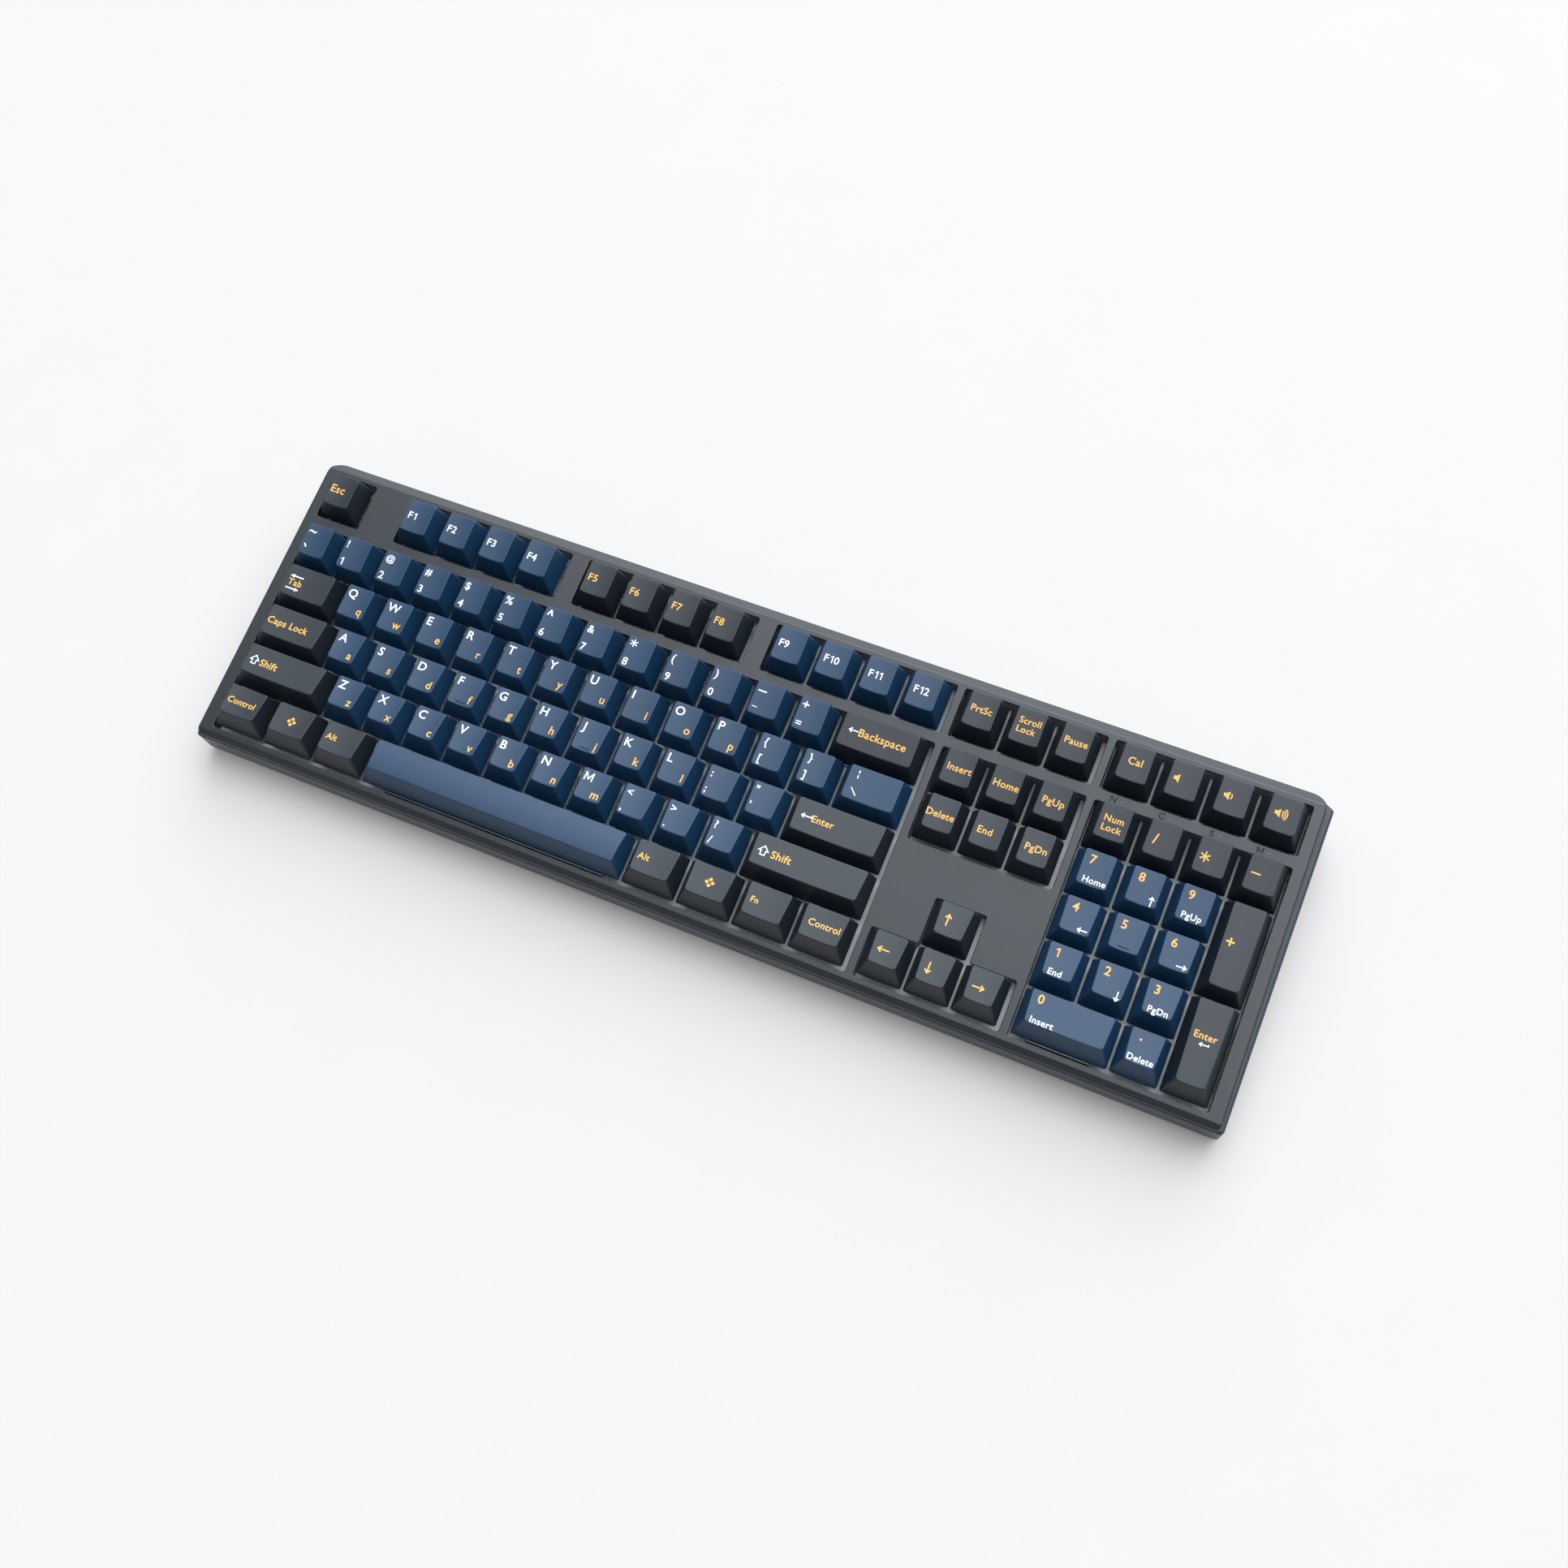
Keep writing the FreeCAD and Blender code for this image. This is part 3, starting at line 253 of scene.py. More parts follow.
class Cap:
    """Shape of one kind of keycap, centred on its key at the plate's top face."""

    def __init__(self, width, tall, profile, crowned=False):
        self.height, tilt, self.back, self.front = PROFILES[profile]
        self.slope = math.tan(math.radians(tilt))
        self.half_w = (width * UNIT - CAP_GAP) / 2
        self.half_d = (tall * UNIT - CAP_GAP) / 2
        self.middle_y = (self.front - self.back) / 2
        self.crowned = crowned
        self.top_half_w = self.half_w - CAP_SIDE_INSET
        self.top_half_d = self.half_d - (self.front + self.back) / 2
        self.steps_x = max(6, round(6 * width))
        self.steps_y = 6 * tall

    def surface(self, x, y):
        """Height of the top face over the plate."""
        z = CAP_SKIRT_Z + self.height - self.slope * (y - self.middle_y)
        if self.crowned:
            return z - CROWN_DEPTH * min(1.0, abs((y - self.middle_y) / self.top_half_d)) ** 2
        return z - DISH_DEPTH * (1 - min(1.0, abs(x) / self.top_half_w) ** 2)

    def ring(self, k, inset=0.0, corner=None):
        x = self.half_w - CAP_SIDE_INSET * k - inset
        y0 = -self.half_d + self.front * k + inset
        y1 = self.half_d - self.back * k - inset
        radius = (SKIRT_CORNER + (TOP_CORNER - SKIRT_CORNER) * k if corner is None else corner)
        return rounded_ring(-x, x, y0, y1, max(0.25, radius - inset), self.steps_x, self.steps_y)

    def edge_share(self, i):
        """How far up its slope, as a share of the height, a side line reaches the top face."""
        k = 1.0
        for _ in range(4):
            x, y = self.ring(k)[i]
            k = (self.surface(x, y) - CAP_SKIRT_Z) / self.height
        return k

    def rings(self):
        """Loops of points from the inside of the skirt, round its lip, up the sides and over the top."""
        skirt = self.ring(0)
        shares = [self.edge_share(i) for i in range(len(skirt))]

        def side(s, inset=0.0):
            loop = []
            for i, share in enumerate(shares):
                x, y = self.ring(s * share, inset)[i]
                loop.append((x, y, CAP_SKIRT_Z + s * share * self.height))
            return loop

        edge = side(1.0)
        run = math.hypot(self.height, CAP_SIDE_INSET)
        below = side(1.0 - EDGE_ROUND / run)
        inner = [self.ring(share, EDGE_ROUND)[i] for i, share in enumerate(shares)]
        over = [(x, y, self.surface(x, y)) for x, y in inner]
        loops = [[(x, y, CAP_SKIRT_Z + 4.0) for x, y in self.ring(0.45, CAP_WALL)],
                 [(x, y, CAP_SKIRT_Z) for x, y in self.ring(0, CAP_WALL)],
                 [(x, y, CAP_SKIRT_Z) for x, y in self.ring(0, 0.1)],
                 side(0.012), side(0.5), side(0.92), below]
        for step in range(1, EDGE_STEPS):
            t = step / EDGE_STEPS
            weights = ((1 - t) ** 2, 2 * t * (1 - t), t * t)
            loops.append([tuple(sum(k * v for k, v in zip(weights, abc)) for abc in zip(*triple))
                          for triple in zip(below, edge, over)])
        loops.append(over)
        for q in (0.88, 0.7, 0.5, 0.3, 0.12):
            loop = []
            for x, y in inner:
                x, y = x * q, self.middle_y + (y - self.middle_y) * q
                loop.append((x, y, self.surface(x, y)))
            loops.append(loop)
        return loops


def skin(bm, loops, matrix):
    """Joins loops of equal length with quads, and closes both ends."""
    rows = [[bm.verts.new(matrix @ Vector(p)) for p in loop] for loop in loops]
    for low, high in zip(rows, rows[1:]):
        n = len(low)
        for i in range(n):
            j = (i + 1) % n
            bm.faces.new((low[i], low[j], high[j], high[i]))
    bm.faces.new(rows[-1])
    bm.faces.new(reversed(rows[0]))


def homing_bar(bm, cap, matrix):
    """Small round-ended bar near the front edge of the top."""
    sides = 12
    y = -cap.half_d + cap.front + HOMING_FROM_EDGE
    loops = []
    for end in (-1, 1):
        for step in range(4):
            a = math.radians(90 * (step + 0.5) / 4) if end > 0 else math.radians(90 * (3.5 - step) / 4)
            r = HOMING_R * math.cos(a)
            x = end * (HOMING_HALF + HOMING_R * math.sin(a))
            loops.append([(x, y + r * math.cos(b), cap.surface(x, y) + r * math.sin(b))
                          for b in (2 * math.pi * i / sides for i in range(sides))])
    skin(bm, loops, matrix)


def box(bm, half_x, half_y, z0, z1, matrix):
    loops = [[(-half_x, -half_y, z), (half_x, -half_y, z), (half_x, half_y, z), (-half_x, half_y, z)]
             for z in (z0, z1)]
    skin(bm, loops, matrix)


def round_bar(bm, radius, sides, z0, z1, matrix):
    angles = [2 * math.pi * i / sides for i in range(sides)]
    skin(bm, [[(radius * math.cos(a), radius * math.sin(a), z) for a in angles] for z in (z0, z1)], matrix)


def slider(bm, matrix):
    """Switch slider under the cap: flange, shaft and cross, with the guide pole below."""
    box(bm, *FLANGE, matrix)
    box(bm, *SHAFT, matrix)
    long, narrow, z0, z1 = CROSS
    box(bm, long, narrow, z0, z1, matrix)
    box(bm, narrow, long, z0, z1, matrix)
    round_bar(bm, POLE_R, 16, POLE_FOOT, FLANGE[2], matrix)


def stem(bm, cap, matrix):
    round_bar(bm, STEM_R, 24, STEM_FOOT, CAP_SKIRT_Z + cap.height - STEM_TOP_INSET, matrix)


# ---- legends ----
def flat_mesh(curve):
    holder = bpy.data.objects.new("holder", curve)
    bpy.context.scene.collection.objects.link(holder)
    bpy.context.view_layer.update()
    mesh = bpy.data.meshes.new_from_object(holder.evaluated_get(bpy.context.evaluated_depsgraph_get()))
    shape = ([v.co.copy() for v in mesh.vertices], [tuple(p.vertices) for p in mesh.polygons])
    bpy.data.objects.remove(holder)
    bpy.data.curves.remove(curve)
    bpy.data.meshes.remove(mesh)
    return shape


TEXT_BOLD = 0.017
TEXT_SPACING = 1.06
TEXT_GAP = 0.17
TEXTS = {}


def font_shape(text):
    """Outline of a text with its left edge at 0 and its baseline at 0, capitals one unit tall."""
    if text not in TEXTS:
        curve = bpy.data.curves.new("legend", "FONT")
        curve.body = text
        curve.offset = TEXT_BOLD
        curve.space_character = TEXT_SPACING
        curve.resolution_u = 3
        curve.extrude = 0.5
        verts, faces = flat_mesh(curve)
        if text == "H":
            TEXTS["scale"] = max(v.y for v in verts) - min(v.y for v in verts)
            TEXTS["base"] = min(v.y for v in verts)
        scale = TEXTS["scale"]
        left = min(v.x for v in verts)
        verts = [((v.x - left) / scale, (v.y - TEXTS["base"]) / scale, v.z) for v in verts]
        TEXTS[text] = (verts, faces)
    return TEXTS[text]


def text_shape(text):
    """As font_shape, with the figure 1 and the capital M drawn as plain strokes."""
    if not any(char in DRAWN for char in text):
        return font_shape(text)
    verts, faces, edge = [], [], 0.0
    for char in text:
        more, polys = DRAWN[char] if char in DRAWN else font_shape(char)
        base = len(verts)
        verts += [(x + edge, y, z) for x, y, z in more]
        faces += [tuple(base + i for i in poly) for poly in polys]
        edge = max(v[0] for v in verts) + TEXT_GAP
    return verts, faces


font_shape("H")


def strip(points, width, closed=False):
    """Flat band of even width along a line of points, as a thick solid."""
    n = len(points)
    left, right = [], []
    for i, (x, y) in enumerate(points):
        before = points[i - 1] if i > 0 or closed else None
        after = points[(i + 1) % n] if i < n - 1 or closed else None
        normals = []
        for a, b in ((before, (x, y)), ((x, y), after)):
            if a and b:
                dx, dy = b[0] - a[0], b[1] - a[1]
                size = math.hypot(dx, dy)
                normals.append((-dy / size, dx / size))
        mx = sum(v[0] for v in normals) / len(normals)
        my = sum(v[1] for v in normals) / len(normals)
        square = mx * mx + my * my
        ox, oy = mx / square * width / 2, my / square * width / 2
        left.append((x + ox, y + oy))
        right.append((x - ox, y - oy))
    verts = [(x, y, z) for z in (-0.5, 0.5) for side in (left, right) for x, y in side]
    faces = []
    last = n if closed else n - 1
    for i in range(last):
        j = (i + 1) % n
        low_l, low_r, high_l, high_r = i, n + i, 2 * n + i, 3 * n + i
        next_l, next_r, top_l, top_r = j, n + j, 2 * n + j, 3 * n + j
        faces += [(high_l, high_r, top_r, top_l), (low_r, low_l, next_l, next_r),
                  (low_l, high_l, top_l, next_l), (high_r, low_r, next_r, top_r)]
    if not closed:
        faces += [(0, n, 3 * n, 2 * n), (n - 1, 3 * n - 1, 4 * n - 1, 2 * n - 1)]
    return verts, faces


def solid(points):
    """Flat filled shape as a thick solid."""
    n = len(points)
    verts = [(x, y, z) for z in (-0.5, 0.5) for x, y in points]
    faces = [tuple(range(n, 2 * n)), tuple(reversed(range(n)))]
    faces += [(i, (i + 1) % n, n + (i + 1) % n, n + i) for i in range(n)]
    return verts, faces


def merge(*shapes):
    verts, faces = [], []
    for layer, (more, polys) in enumerate(shapes):
        base = len(verts)
        verts += [(x, y, z - LAYER_STEP * layer) for x, y, z in more]
        faces += [tuple(base + i for i in poly) for poly in polys]
    return verts, faces


DRAWN = {
    "1": merge(strip([(0.36, 0.0), (0.36, 1.0)], 0.16), strip([(0.38, 0.95), (0.06, 0.74)], 0.15)),
    "M": merge(strip([(0.08, 0.0), (0.08, 1.0)], 0.15), strip([(0.92, 0.0), (0.92, 1.0)], 0.15),
               strip([(0.1, 0.94), (0.5, 0.22), (0.9, 0.94)], 0.15)),
}


def arc(cx, cy, radius, first, last, steps=8):
    angles = [math.radians(first + (last - first) * i / steps) for i in range(steps + 1)]
    return [(cx + radius * math.cos(a), cy + radius * math.sin(a)) for a in angles]


def turned(shape, quarter):
    c, s = ((1, 0), (0, 1), (-1, 0), (0, -1))[quarter % 4]
    verts, faces = shape
    return [(x * c - y * s, x * s + y * c, z) for x, y, z in verts], faces


def arrow():
    """Arrow pointing left, about one unit long, centred."""
    return merge(strip([(-0.5, 0), (0.5, 0)], 0.13), strip([(-0.22, 0.26), (-0.52, 0), (-0.22, -0.26)], 0.13))


def return_arrow():
    return merge(strip([(-0.5, 0), (0.5, 0), (0.5, 0.22)], 0.13),
                 strip([(-0.26, 0.22), (-0.52, 0), (-0.26, -0.22)], 0.13))


def shift_arrow():
    return strip([(0, 0.52), (0.5, -0.02), (0.24, -0.02), (0.24, -0.48), (-0.24, -0.48), (-0.24, -0.02),
                  (-0.5, -0.02)], 0.12, closed=True)


def tab_arrow():
    return merge(strip([(-0.5, 0), (0.5, 0)], 0.1), solid([(-0.5, 0.0), (-0.22, 0.15), (-0.22, -0.15)]))


def lozenge():
    """Four small diamonds set round a middle point."""
    parts = []
    for dx, dy in ((0, 0.34), (0.34, 0), (0, -0.34), (-0.34, 0)):
        parts.append(solid([(dx, dy - 0.24), (dx + 0.24, dy), (dx, dy + 0.24), (dx - 0.24, dy)]))
    return merge(*parts)


def speaker(waves):
    parts = [solid([(-0.5, -0.17), (-0.3, -0.17), (0.02, -0.42), (0.02, 0.42), (-0.3, 0.17), (-0.5, 0.17)])]
    for i in range(waves):
        parts.append(strip(arc(-0.12, 0, 0.38 + 0.2 * i, -42, 42), 0.11))
    return merge(*parts)


def dash():
    return strip([(-0.5, 0), (0.5, 0)], 0.16)


def star():
    spokes = [strip([(-0.5 * math.cos(a), -0.5 * math.sin(a)), (0.5 * math.cos(a), 0.5 * math.sin(a))], 0.14)
              for a in (math.radians(90), math.radians(30), math.radians(-30))]
    return merge(*spokes)


def broken_bar():
    return merge(strip([(0, 0.1), (0, 0.5)], 0.13), strip([(0, -0.5), (0, -0.1)], 0.13))


SIGNS = {
    "broken_bar": broken_bar(),
    "backslash": strip([(-0.4, 0.42), (0.4, -0.42)], 0.13),
    "grave": strip([(-0.12, 0.16), (0.14, -0.12)], 0.14),
    "<-": arrow(),
    "->": turned(arrow(), 2),
    "^|": turned(arrow(), 3),
    "v|": turned(arrow(), 1),
    "return": return_arrow(),
    "shift": shift_arrow(),
    "tab": tab_arrow(),
    "backtab": turned(tab_arrow(), 2),
    "lozenge": lozenge(),
    "mute": speaker(0),
    "quiet": speaker(1),
    "loud": speaker(3),
    "dash": dash(),
    "star": star(),
}

# a legend: text or sign, colour, size in mm, how it is aligned, place across and down the top face.
# Across is mm from the left edge ("l"), from the right edge ("r") or from the middle ("c"); down is a
# share of the depth, from the back edge to the middle of a capital.
W = "white"
Y = "yellow"


LARGER = {"@": 0.88, "^": 1.35, "%": 1.08, "+": 1.15, "(": 1.05, ")": 1.05}


def letter(char):
    return [(char, W, 3.7, "l", 1.2, 0.25), (char.lower(), Y, 3.55, "r", 1.5, 0.74)]


def pair(upper, lower, down=0.75, at=1.2, size=3.25):
    return [(upper, W, size * LARGER.get(upper, 1.0), "l", at, 0.25), (lower, W, size, "l", at, down)]


def function_key(text, colour):
    return [(text, colour, 3.1, "l", 1.5 if len(text) == 2 else 1.9, 0.5)]


def word(text, size=2.85, at=1.9, down=0.53):
    return [(text, Y, size, "l", at, down)]


def two_lines(first, second, size=2.65, at=1.9, down=0.35):
    return [(first, Y, size, "l", at, down), (second, Y, size, "l", at, down + 0.27)]


def pad_key(digit, below, sign=False):
    place = [(digit, Y, 3.55, "l", 2.5, 0.26)]
    if sign:
        return place + [(below, W, 3.7, "r", 1.0, 0.85)]
    return place + [(below, W, 2.5, "l", 2.3, 0.84)]


# body: first key's place in units, row, width, tall, legends of each key from left to right
KEYS = {
    "key_escape": (0, 0, 1, 1, [word("Esc", 3.5, 1.3, 0.48)]),
    "keys_f1_to_f4": (2, 0, 1, 1, [function_key(t, W) for t in ("F1", "F2", "F3", "F4")]),
    "keys_f5_to_f8": (6.5, 0, 1, 1, [function_key(t, Y) for t in ("F5", "F6", "F7", "F8")]),
    "keys_f9_to_f12": (11, 0, 1, 1, [function_key(t, W) for t in ("F9", "F10", "F11", "F12")]),
    "keys_print_group": (15.25, 0, 1, 1, [word("PrtSc", 2.8, 1.7, 0.47), two_lines("Scroll", "Lock"),
                                          word("Pause", 2.8, 1.6, 0.47)]),
    "keys_volume_group": (18.5, 0, 1, 1, [word("Cal", 3.0, 3.0, 0.45), [("mute", Y, 4.1, "s", -2.0, 0.5)],
                                          [("quiet", Y, 4.1, "s", -1.7, 0.5)],
                                          [("loud", Y, 4.1, "s", -1.4, 0.5)]]),
    "keys_number_row": (0, 1, 1, 1, [[("~", W, 4.2, "l", 1.2, 0.22), ("grave", W, 4.6, "l", 1.4, 0.74)]]
                        + [pair(a, b, 0.82) for a, b in zip("!@#$%^&", "1234567")]
                        + [[("star", W, 3.3, "l", 1.3, 0.22), ("8", W, 3.25, "l", 1.2, 0.82)],
                           pair("(", "9", 0.82), pair(")", "0", 0.82),
                           [("dash", W, 3.6, "l", 1.3, 0.3), ("dash", W, 2.1, "l", 1.3, 0.8)],
                           pair("+", "=", 0.82)]),
    "key_backspace": (13, 1, 2, 1, [[("<-", W, 3.7, "l", 3.0, 0.5)] + word("Backspace", 3.25, 7.4, 0.5)]),
    "keys_insert_group": (15.25, 1, 1, 1, [word("Insert"), word("Home"), word("PgUp")]),
    "keys_numpad_signs": (18.5, 1, 1, 1, [two_lines("Num", "Lock", 2.7, 2.1, 0.43),
                                          [("/", Y, 4.1, "c", -2.5, 0.54)],
                                          [("star", Y, 4.1, "s", -2.5, 0.56)],
                                          [("dash", Y, 3.6, "s", -2.5, 0.53)]]),
    "key_tab": (0, 2, 1.5, 1, [word("Tab", 2.9, 1.9, 0.56) + [("tab", W, 6.0, "l", 1.9, 0.36),
                                                             ("backtab", W, 6.0, "l", 1.9, 0.77)]]),
    "keys_q_to_bracket": (1.5, 2, 1, 1, [letter(c) for c in "QWERTYUIOP"]
                          + [pair("{", "[", 0.76, 2.0), pair("}", "]", 0.76, 2.0)]),
    "key_backslash": (13.5, 2, 1.5, 1, [[("broken_bar", W, 3.5, "l", 3.6, 0.24),
                                         ("backslash", W, 3.3, "l", 2.8, 0.76)]]),
    "keys_delete_group": (15.25, 2, 1, 1, [word("Delete"), word("End"), word("PgDn")]),
    "keys_numpad_789": (18.5, 2, 1, 1, [pad_key("7", "Home"), pad_key("8", "^|", True),
                                        pad_key("9", "PgUp")]),
    "key_numpad_plus": (21.5, 2, 1, 2, [[("+", Y, 4.5, "c", -2.9, 0.47)]]),
    "key_caps_lock": (0, 3, 1.75, 1, [word("Caps Lock", 3.05, 1.1, 0.5)]),
    "keys_a_to_quote": (1.75, 3, 1, 1, [letter(c) for c in "ASDFGHJKL"] + [pair(":", ";"), pair("\"", "'")]),
    "key_enter": (12.75, 3, 2.25, 1, [[("return", W, 4.0, "l", 2.8, 0.5)] + word("Enter", 2.85, 7.5, 0.5)]),
    "keys_numpad_456": (18.5, 3, 1, 1, [pad_key("4", "<-", True), [("5", Y, 3.55, "l", 2.5, 0.26)],
                                        pad_key("6", "->", True)]),
    "key_left_shift": (0, 4, 2.25, 1, [[("shift", W, 3.8, "l", 1.9, 0.5)] + word("Shift", 3.15, 7.2, 0.52)]),
    "keys_z_to_slash": (2.25, 4, 1, 1, [letter(c) for c in "ZXCVBNM"]
                        + [pair("<", ","), pair(">", "."), pair("?", "/")]),
    "key_right_shift": (12.25, 4, 2.75, 1, [[("shift", W, 3.8, "l", 1.9, 0.5)]
                                            + word("Shift", 3.15, 7.7, 0.52)]),
    "key_up": (16.25, 4, 1, 1, [[("^|", Y, 4.4, "s", -2.0, 0.52)]]),
    "keys_numpad_123": (18.5, 4, 1, 1, [pad_key("1", "End"), pad_key("2", "v|", True), pad_key("3", "PgDn")]),
    "key_numpad_enter": (21.5, 4, 1, 2, [[("Enter", Y, 2.7, "c", 0.0, 0.41),
                                           ("return", W, 3.25, "s", 0.3, 0.51)]]),
    "key_left_control": (0, 5, 1.25, 1, [word("Control", 2.75, 1.4, 0.5)]),
    "key_left_command": (1.25, 5, 1.25, 1, [[("lozenge", Y, 3.65, "s", 0.2, 0.5)]]),
    "key_left_alt": (2.5, 5, 1.25, 1, [word("Alt", 2.65, 1.6, 0.48)]),
    "key_space": (3.75, 5, 6.25, 1, [[]]),
    "key_right_alt": (10, 5, 1.25, 1, [word("Alt", 2.65, 1.4, 0.48)]),
    "key_right_command": (11.25, 5, 1.25, 1, [[("lozenge", Y, 3.65, "s", 0.2, 0.5)]]),
    "key_fn": (12.5, 5, 1.25, 1, [word("Fn", 2.5, 2.2, 0.5)]),
    "key_right_control": (13.75, 5, 1.25, 1, [word("Control", 2.75, 2.5, 0.5)]),
    "key_left": (15.25, 5, 1, 1, [[("<-", Y, 4.4, "s", -1.2, 0.52)]]),
    "key_down": (16.25, 5, 1, 1, [[("v|", Y, 4.4, "s", -2.2, 0.52)]]),
    "key_right": (17.25, 5, 1, 1, [[("->", Y, 4.4, "s", -1.6, 0.56)]]),
    "key_numpad_0": (18.5, 5, 2, 1, [[("0", Y, 3.55, "l", 2.5, 0.23), ("Insert", W, 2.6, "l", 2.3, 0.85)]]),
    "key_numpad_point": (20.5, 5, 1, 1, [[(".", Y, 4.2, "l", 3.4, 0.16),
                                           ("Delete", W, 2.5, "c", 0.0, 0.82)]]),
}
NAVY_BODIES = {"keys_f1_to_f4", "keys_f9_to_f12", "keys_number_row", "keys_q_to_bracket", "key_backslash",
               "keys_a_to_quote", "keys_z_to_slash", "key_space", "keys_numpad_789", "keys_numpad_456",
               "keys_numpad_123", "key_numpad_0", "key_numpad_point"}
HOMING = {("keys_a_to_quote", 3), ("keys_a_to_quote", 6), ("keys_numpad_456", 1)}


def put_legend(bm, cap, legend, matrix):
    text, _colour, size, align, at, down = legend
    is_sign = text in SIGNS
    verts, faces = SIGNS[text] if is_sign else text_shape(text)
    low_x = min(v[0] for v in verts) * size
    high_x = max(v[0] for v in verts) * size
    y_back = cap.half_d - cap.back
    depth = 2 * cap.half_d - cap.back - cap.front
    y = y_back - down * depth - (0 if is_sign else size / 2)
    x = {"l": -cap.top_half_w + at - low_x,
         "r": cap.top_half_w - at - high_x,
         "c": at - (low_x + high_x) / 2,
         "s": at}[align]
    x = min(x, cap.top_half_w - TEXT_MARGIN - high_x)
    made = []
    for vx, vy, vz in verts:
        px, py = x + vx * size, y + vy * size
        lift = LEGEND_PROUD if vz > 0 else -LEGEND_DEPTH
        pz = cap.surface(px, py) + lift + LAYER_STEP * (abs(vz) - 0.5)
        made.append(bm.verts.new(matrix @ Vector((px, py, pz))))
    for poly in faces:
        if len(set(poly)) == len(poly):
            try:
                bm.faces.new([made[i] for i in poly])
            except ValueError:
                continue


def finish_piece(bm, name, material, body, smooth=True):
    bmesh.ops.recalc_face_normals(bm, faces=bm.faces)
    mesh = bpy.data.meshes.new(name)
    bm.to_mesh(mesh)
    bm.free()
    mesh.polygons.foreach_set("use_smooth", [smooth] * len(mesh.polygons))
    mesh.materials.append(material)
    piece = bpy.data.objects.new(name, mesh)
    bpy.context.scene.collection.objects.link(piece)
    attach(piece, body)
    return piece


def weigh_normals(piece):
    weight = piece.modifiers.new("normals", "WEIGHTED_NORMAL")
    weight.weight = 100
    weight.keep_sharp = True


caps = {}
for body, (first, row, width, tall, legends) in KEYS.items():
    profile = ROW_PROFILE[row] + ("_tall" if tall > 1 else "")
    shape = (width, tall, profile)
    if shape not in caps:
        cap = Cap(width, tall, profile, crowned=body == "key_space")
        caps[shape] = (cap, cap.rings())
    cap, loops = caps[shape]
    slot = "keycap_navy" if body in NAVY_BODIES else "keycap_dark"
    shells = bmesh.new()
    letters = {W: bmesh.new(), Y: bmesh.new()}
    for i, key_legends in enumerate(legends):
        x = unit_x(first + width * i + width / 2)
        y = row_back(row) - tall * UNIT / 2
        matrix = PLATE @ Matrix.Translation((x, y, 0))
        skin(shells, loops, matrix)
        slider(shells, matrix)
        stem(shells, cap, matrix)
        reach = STABILISER_REACH.get(max(width, tall))
        if reach:
            for side in (-reach, reach):
                offset = (side, 0, 0) if tall == 1 else (0, side, 0)
                spot = matrix @ Matrix.Translation(offset)
                box(shells, *STABILISER_SLIDER, spot)
        if (body, i) in HOMING:
            homing_bar(shells, cap, matrix)
        for legend in key_legends:
            put_legend(letters[legend[1]], cap, legend, matrix)
    short = body.replace("keys_", "").replace("key_", "")
    piece = finish_piece(shells, "caps_" + short, MATERIALS[slot], body)
    weigh_normals(piece)
    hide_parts(body)
    for colour, material in ((W, LEGEND_WHITE), (Y, LEGEND_YELLOW)):
        if letters[colour].verts:
            name = "legend_" + colour + "_" + short
            finish_piece(letters[colour], name, material, body, smooth=False)
        else:
            letters[colour].free()

# ---- letters engraved beside the indicator lights ----
pipe_y = (row_back(1) + row_back(0) - UNIT) / 2
bezel = Matrix.Translation((0, 0, BEZEL_Z)) @ Matrix.Rotation(BEZEL_ANGLE, 4, "X")
marks = bmesh.new()
for char, units in INDICATORS:
    verts, faces = text_shape(char)
    wide = max(v[0] for v in verts) * INDICATOR_LETTER
    left = unit_x(units) - INDICATOR_GAP - wide
    foot = pipe_y / math.cos(BEZEL_ANGLE) - INDICATOR_LETTER / 2
    made = []
    for vx, vy, vz in verts:
        place = Vector((left + vx * INDICATOR_LETTER, foot + vy * INDICATOR_LETTER,
                        ENGRAVING_TOP if vz > 0 else -ENGRAVING_DEPTH))
        made.append(marks.verts.new(PLATE @ bezel @ place))
    for poly in faces:
        marks.faces.new([made[i] for i in poly])
finish_piece(marks, "indicator_letters", ENGRAVED, "case", smooth=False)

# ---- the CAD nodes that show ----
NODE_FINISH = {entry["node"]: entry["material_slot"] for entry in frame["record"]["subparts"]}
for name, node in nodes.items():
    node.data.materials.clear()
    node.data.materials.append(MATERIALS[NODE_FINISH[name]])

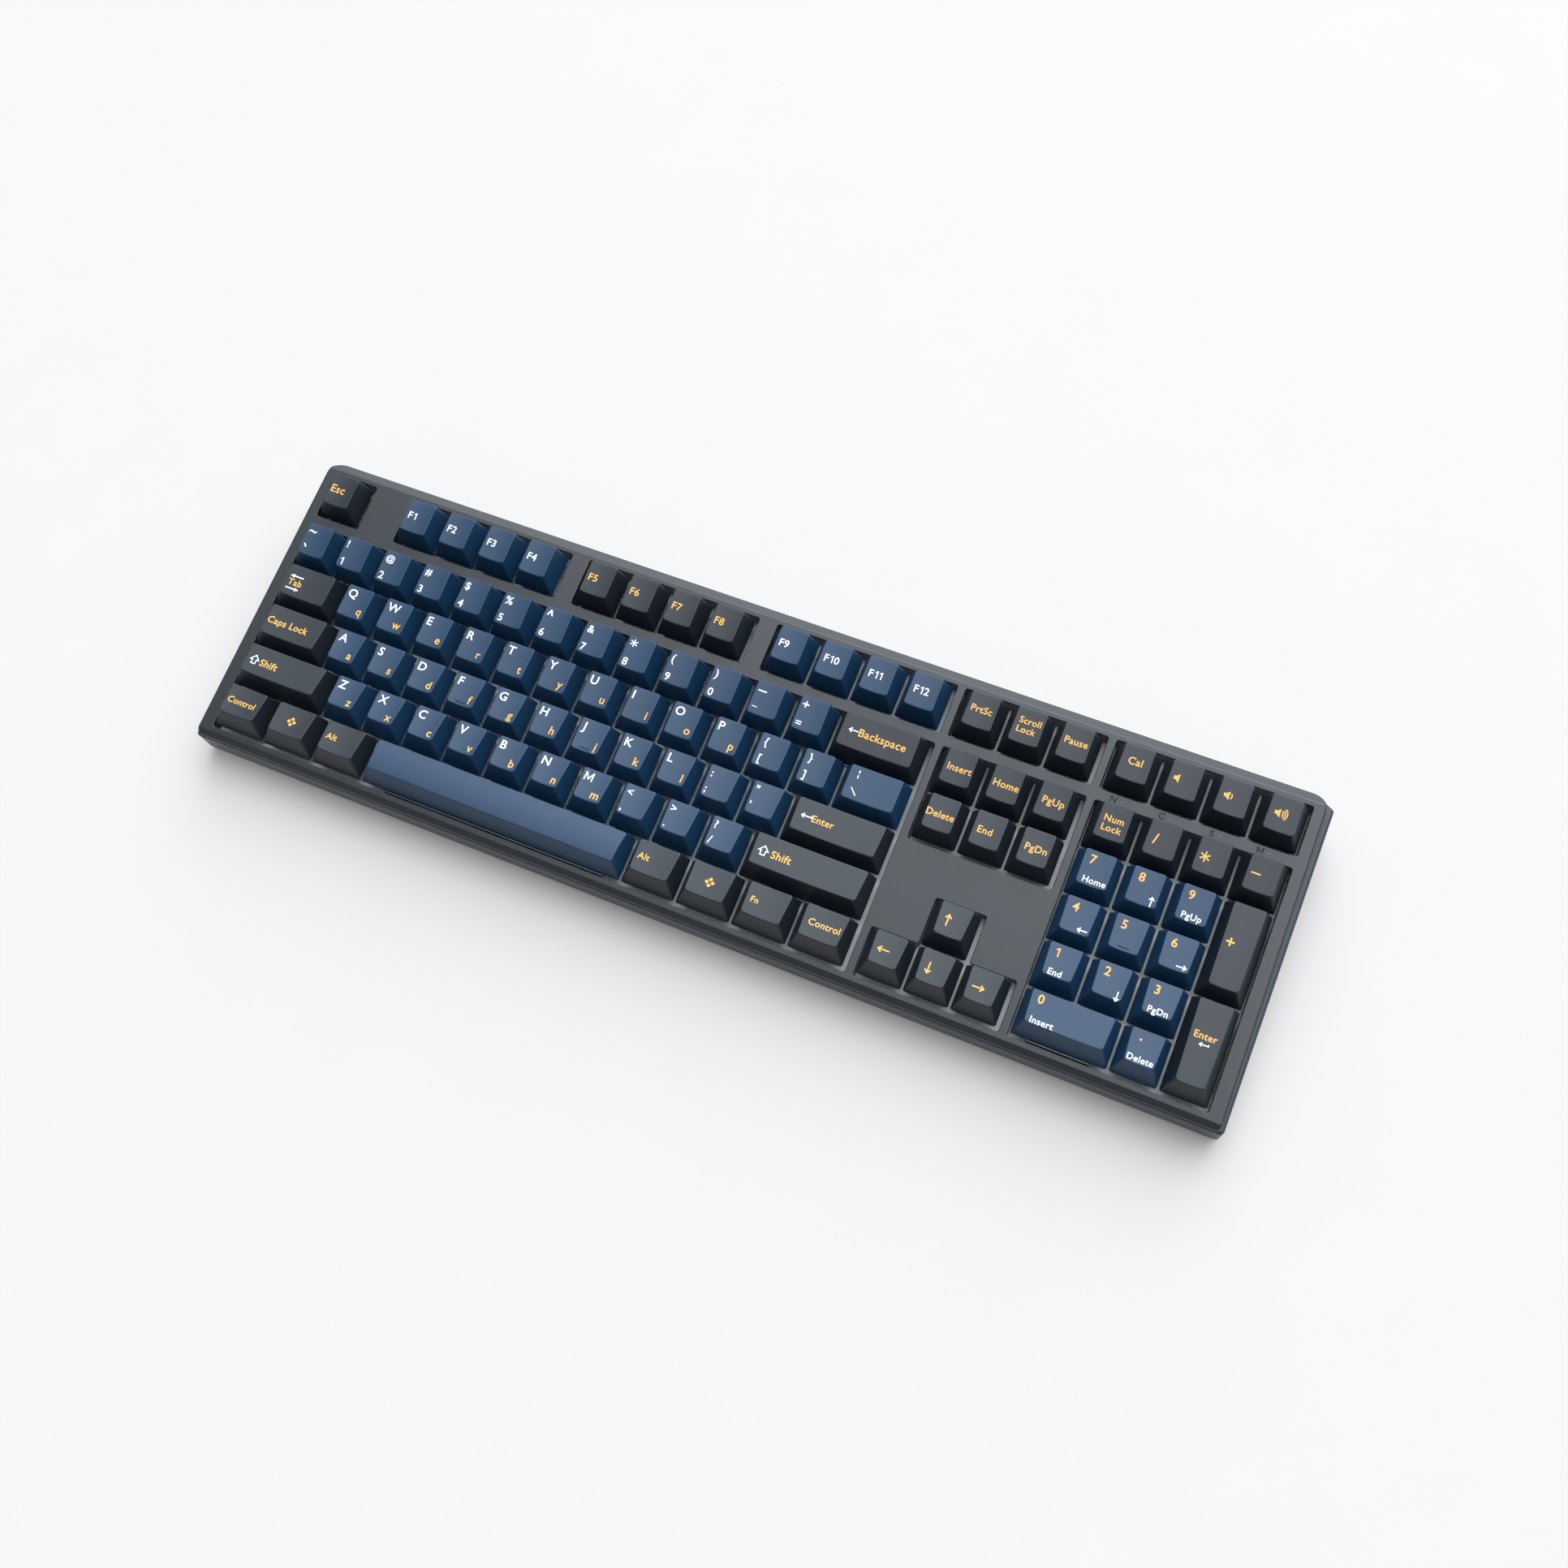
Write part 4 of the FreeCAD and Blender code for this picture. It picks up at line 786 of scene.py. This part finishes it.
# ---- stage, light and camera ----
floor_mesh = bpy.data.meshes.new("floor")
floor_mesh.from_pydata([(-6, -6, 0), (6, -6, 0), (6, 6, 0), (-6, 6, 0)], [], [(0, 1, 2, 3)])
floor = bpy.data.objects.new("floor", floor_mesh)
bpy.context.scene.collection.objects.link(floor)
paper = moulded("floor_paper", (0.535, 0.50, 0.47), 0.75, grain=300, bump=0.03, mottle=0.01)
paper.node_tree.nodes["Principled BSDF"].inputs["Emission Color"].default_value = (1, 1, 1, 1)
paper.node_tree.nodes["Principled BSDF"].inputs["Emission Strength"].default_value = 0.12
floor_mesh.materials.append(paper)


SKY_TINT = (0.93, 1.0, 1.07)


def studio_dome(base, lobes):
    """Even soft light from all round, with broad brighter areas: direction, reach and strength of each."""
    world = bpy.data.worlds.new("studio")
    world.use_nodes = True
    tree = world.node_tree
    around = tree.nodes.new("ShaderNodeTexCoord").outputs["Generated"]
    total = None
    for direction, reach, strength in lobes:
        toward = tree.nodes.new("ShaderNodeVectorMath")
        toward.operation = "DOT_PRODUCT"
        toward.inputs[1].default_value = Vector(direction).normalized()
        tree.links.new(around, toward.inputs[0])
        level = tree.nodes.new("ShaderNodeMapRange")
        level.interpolation_type = "SMOOTHSTEP"
        level.inputs["From Min"].default_value = math.cos(math.radians(reach))
        level.inputs["To Min"].default_value = 0.0 if total else base
        level.inputs["To Max"].default_value = strength + (0.0 if total else base)
        tree.links.new(toward.outputs["Value"], level.inputs["Value"])
        part = level.outputs["Result"]
        if total:
            both = tree.nodes.new("ShaderNodeMath")
            tree.links.new(total, both.inputs[0])
            tree.links.new(part, both.inputs[1])
            part = both.outputs["Value"]
        total = part
    sky = tree.nodes["Background"]
    sky.inputs["Color"].default_value = (*SKY_TINT, 1)
    tree.links.new(total, sky.inputs["Strength"])
    bpy.context.scene.world = world


studio_dome(0.3, (((0.1, 0.66, 1.0), 52, 4.1), ((-0.1, 1.0, 0.28), 40, 2.2)))
bpy.context.scene.view_settings.view_transform = "Standard"

CAMERA_PLACE = (0.16599, -0.18461, 0.62186)
CAMERA_TURN = (math.radians(20.6155), math.radians(5.7523), math.radians(23.0350))
lens = bpy.data.cameras.new("camera")
lens.sensor_width = 36.0
lens.lens = 37.23
camera = bpy.data.objects.new("camera", lens)
bpy.context.scene.collection.objects.link(camera)
bpy.context.scene.camera = camera
camera.location = CAMERA_PLACE
camera.rotation_euler = Euler(CAMERA_TURN, "XYZ")

bpy.context.view_layer.update()
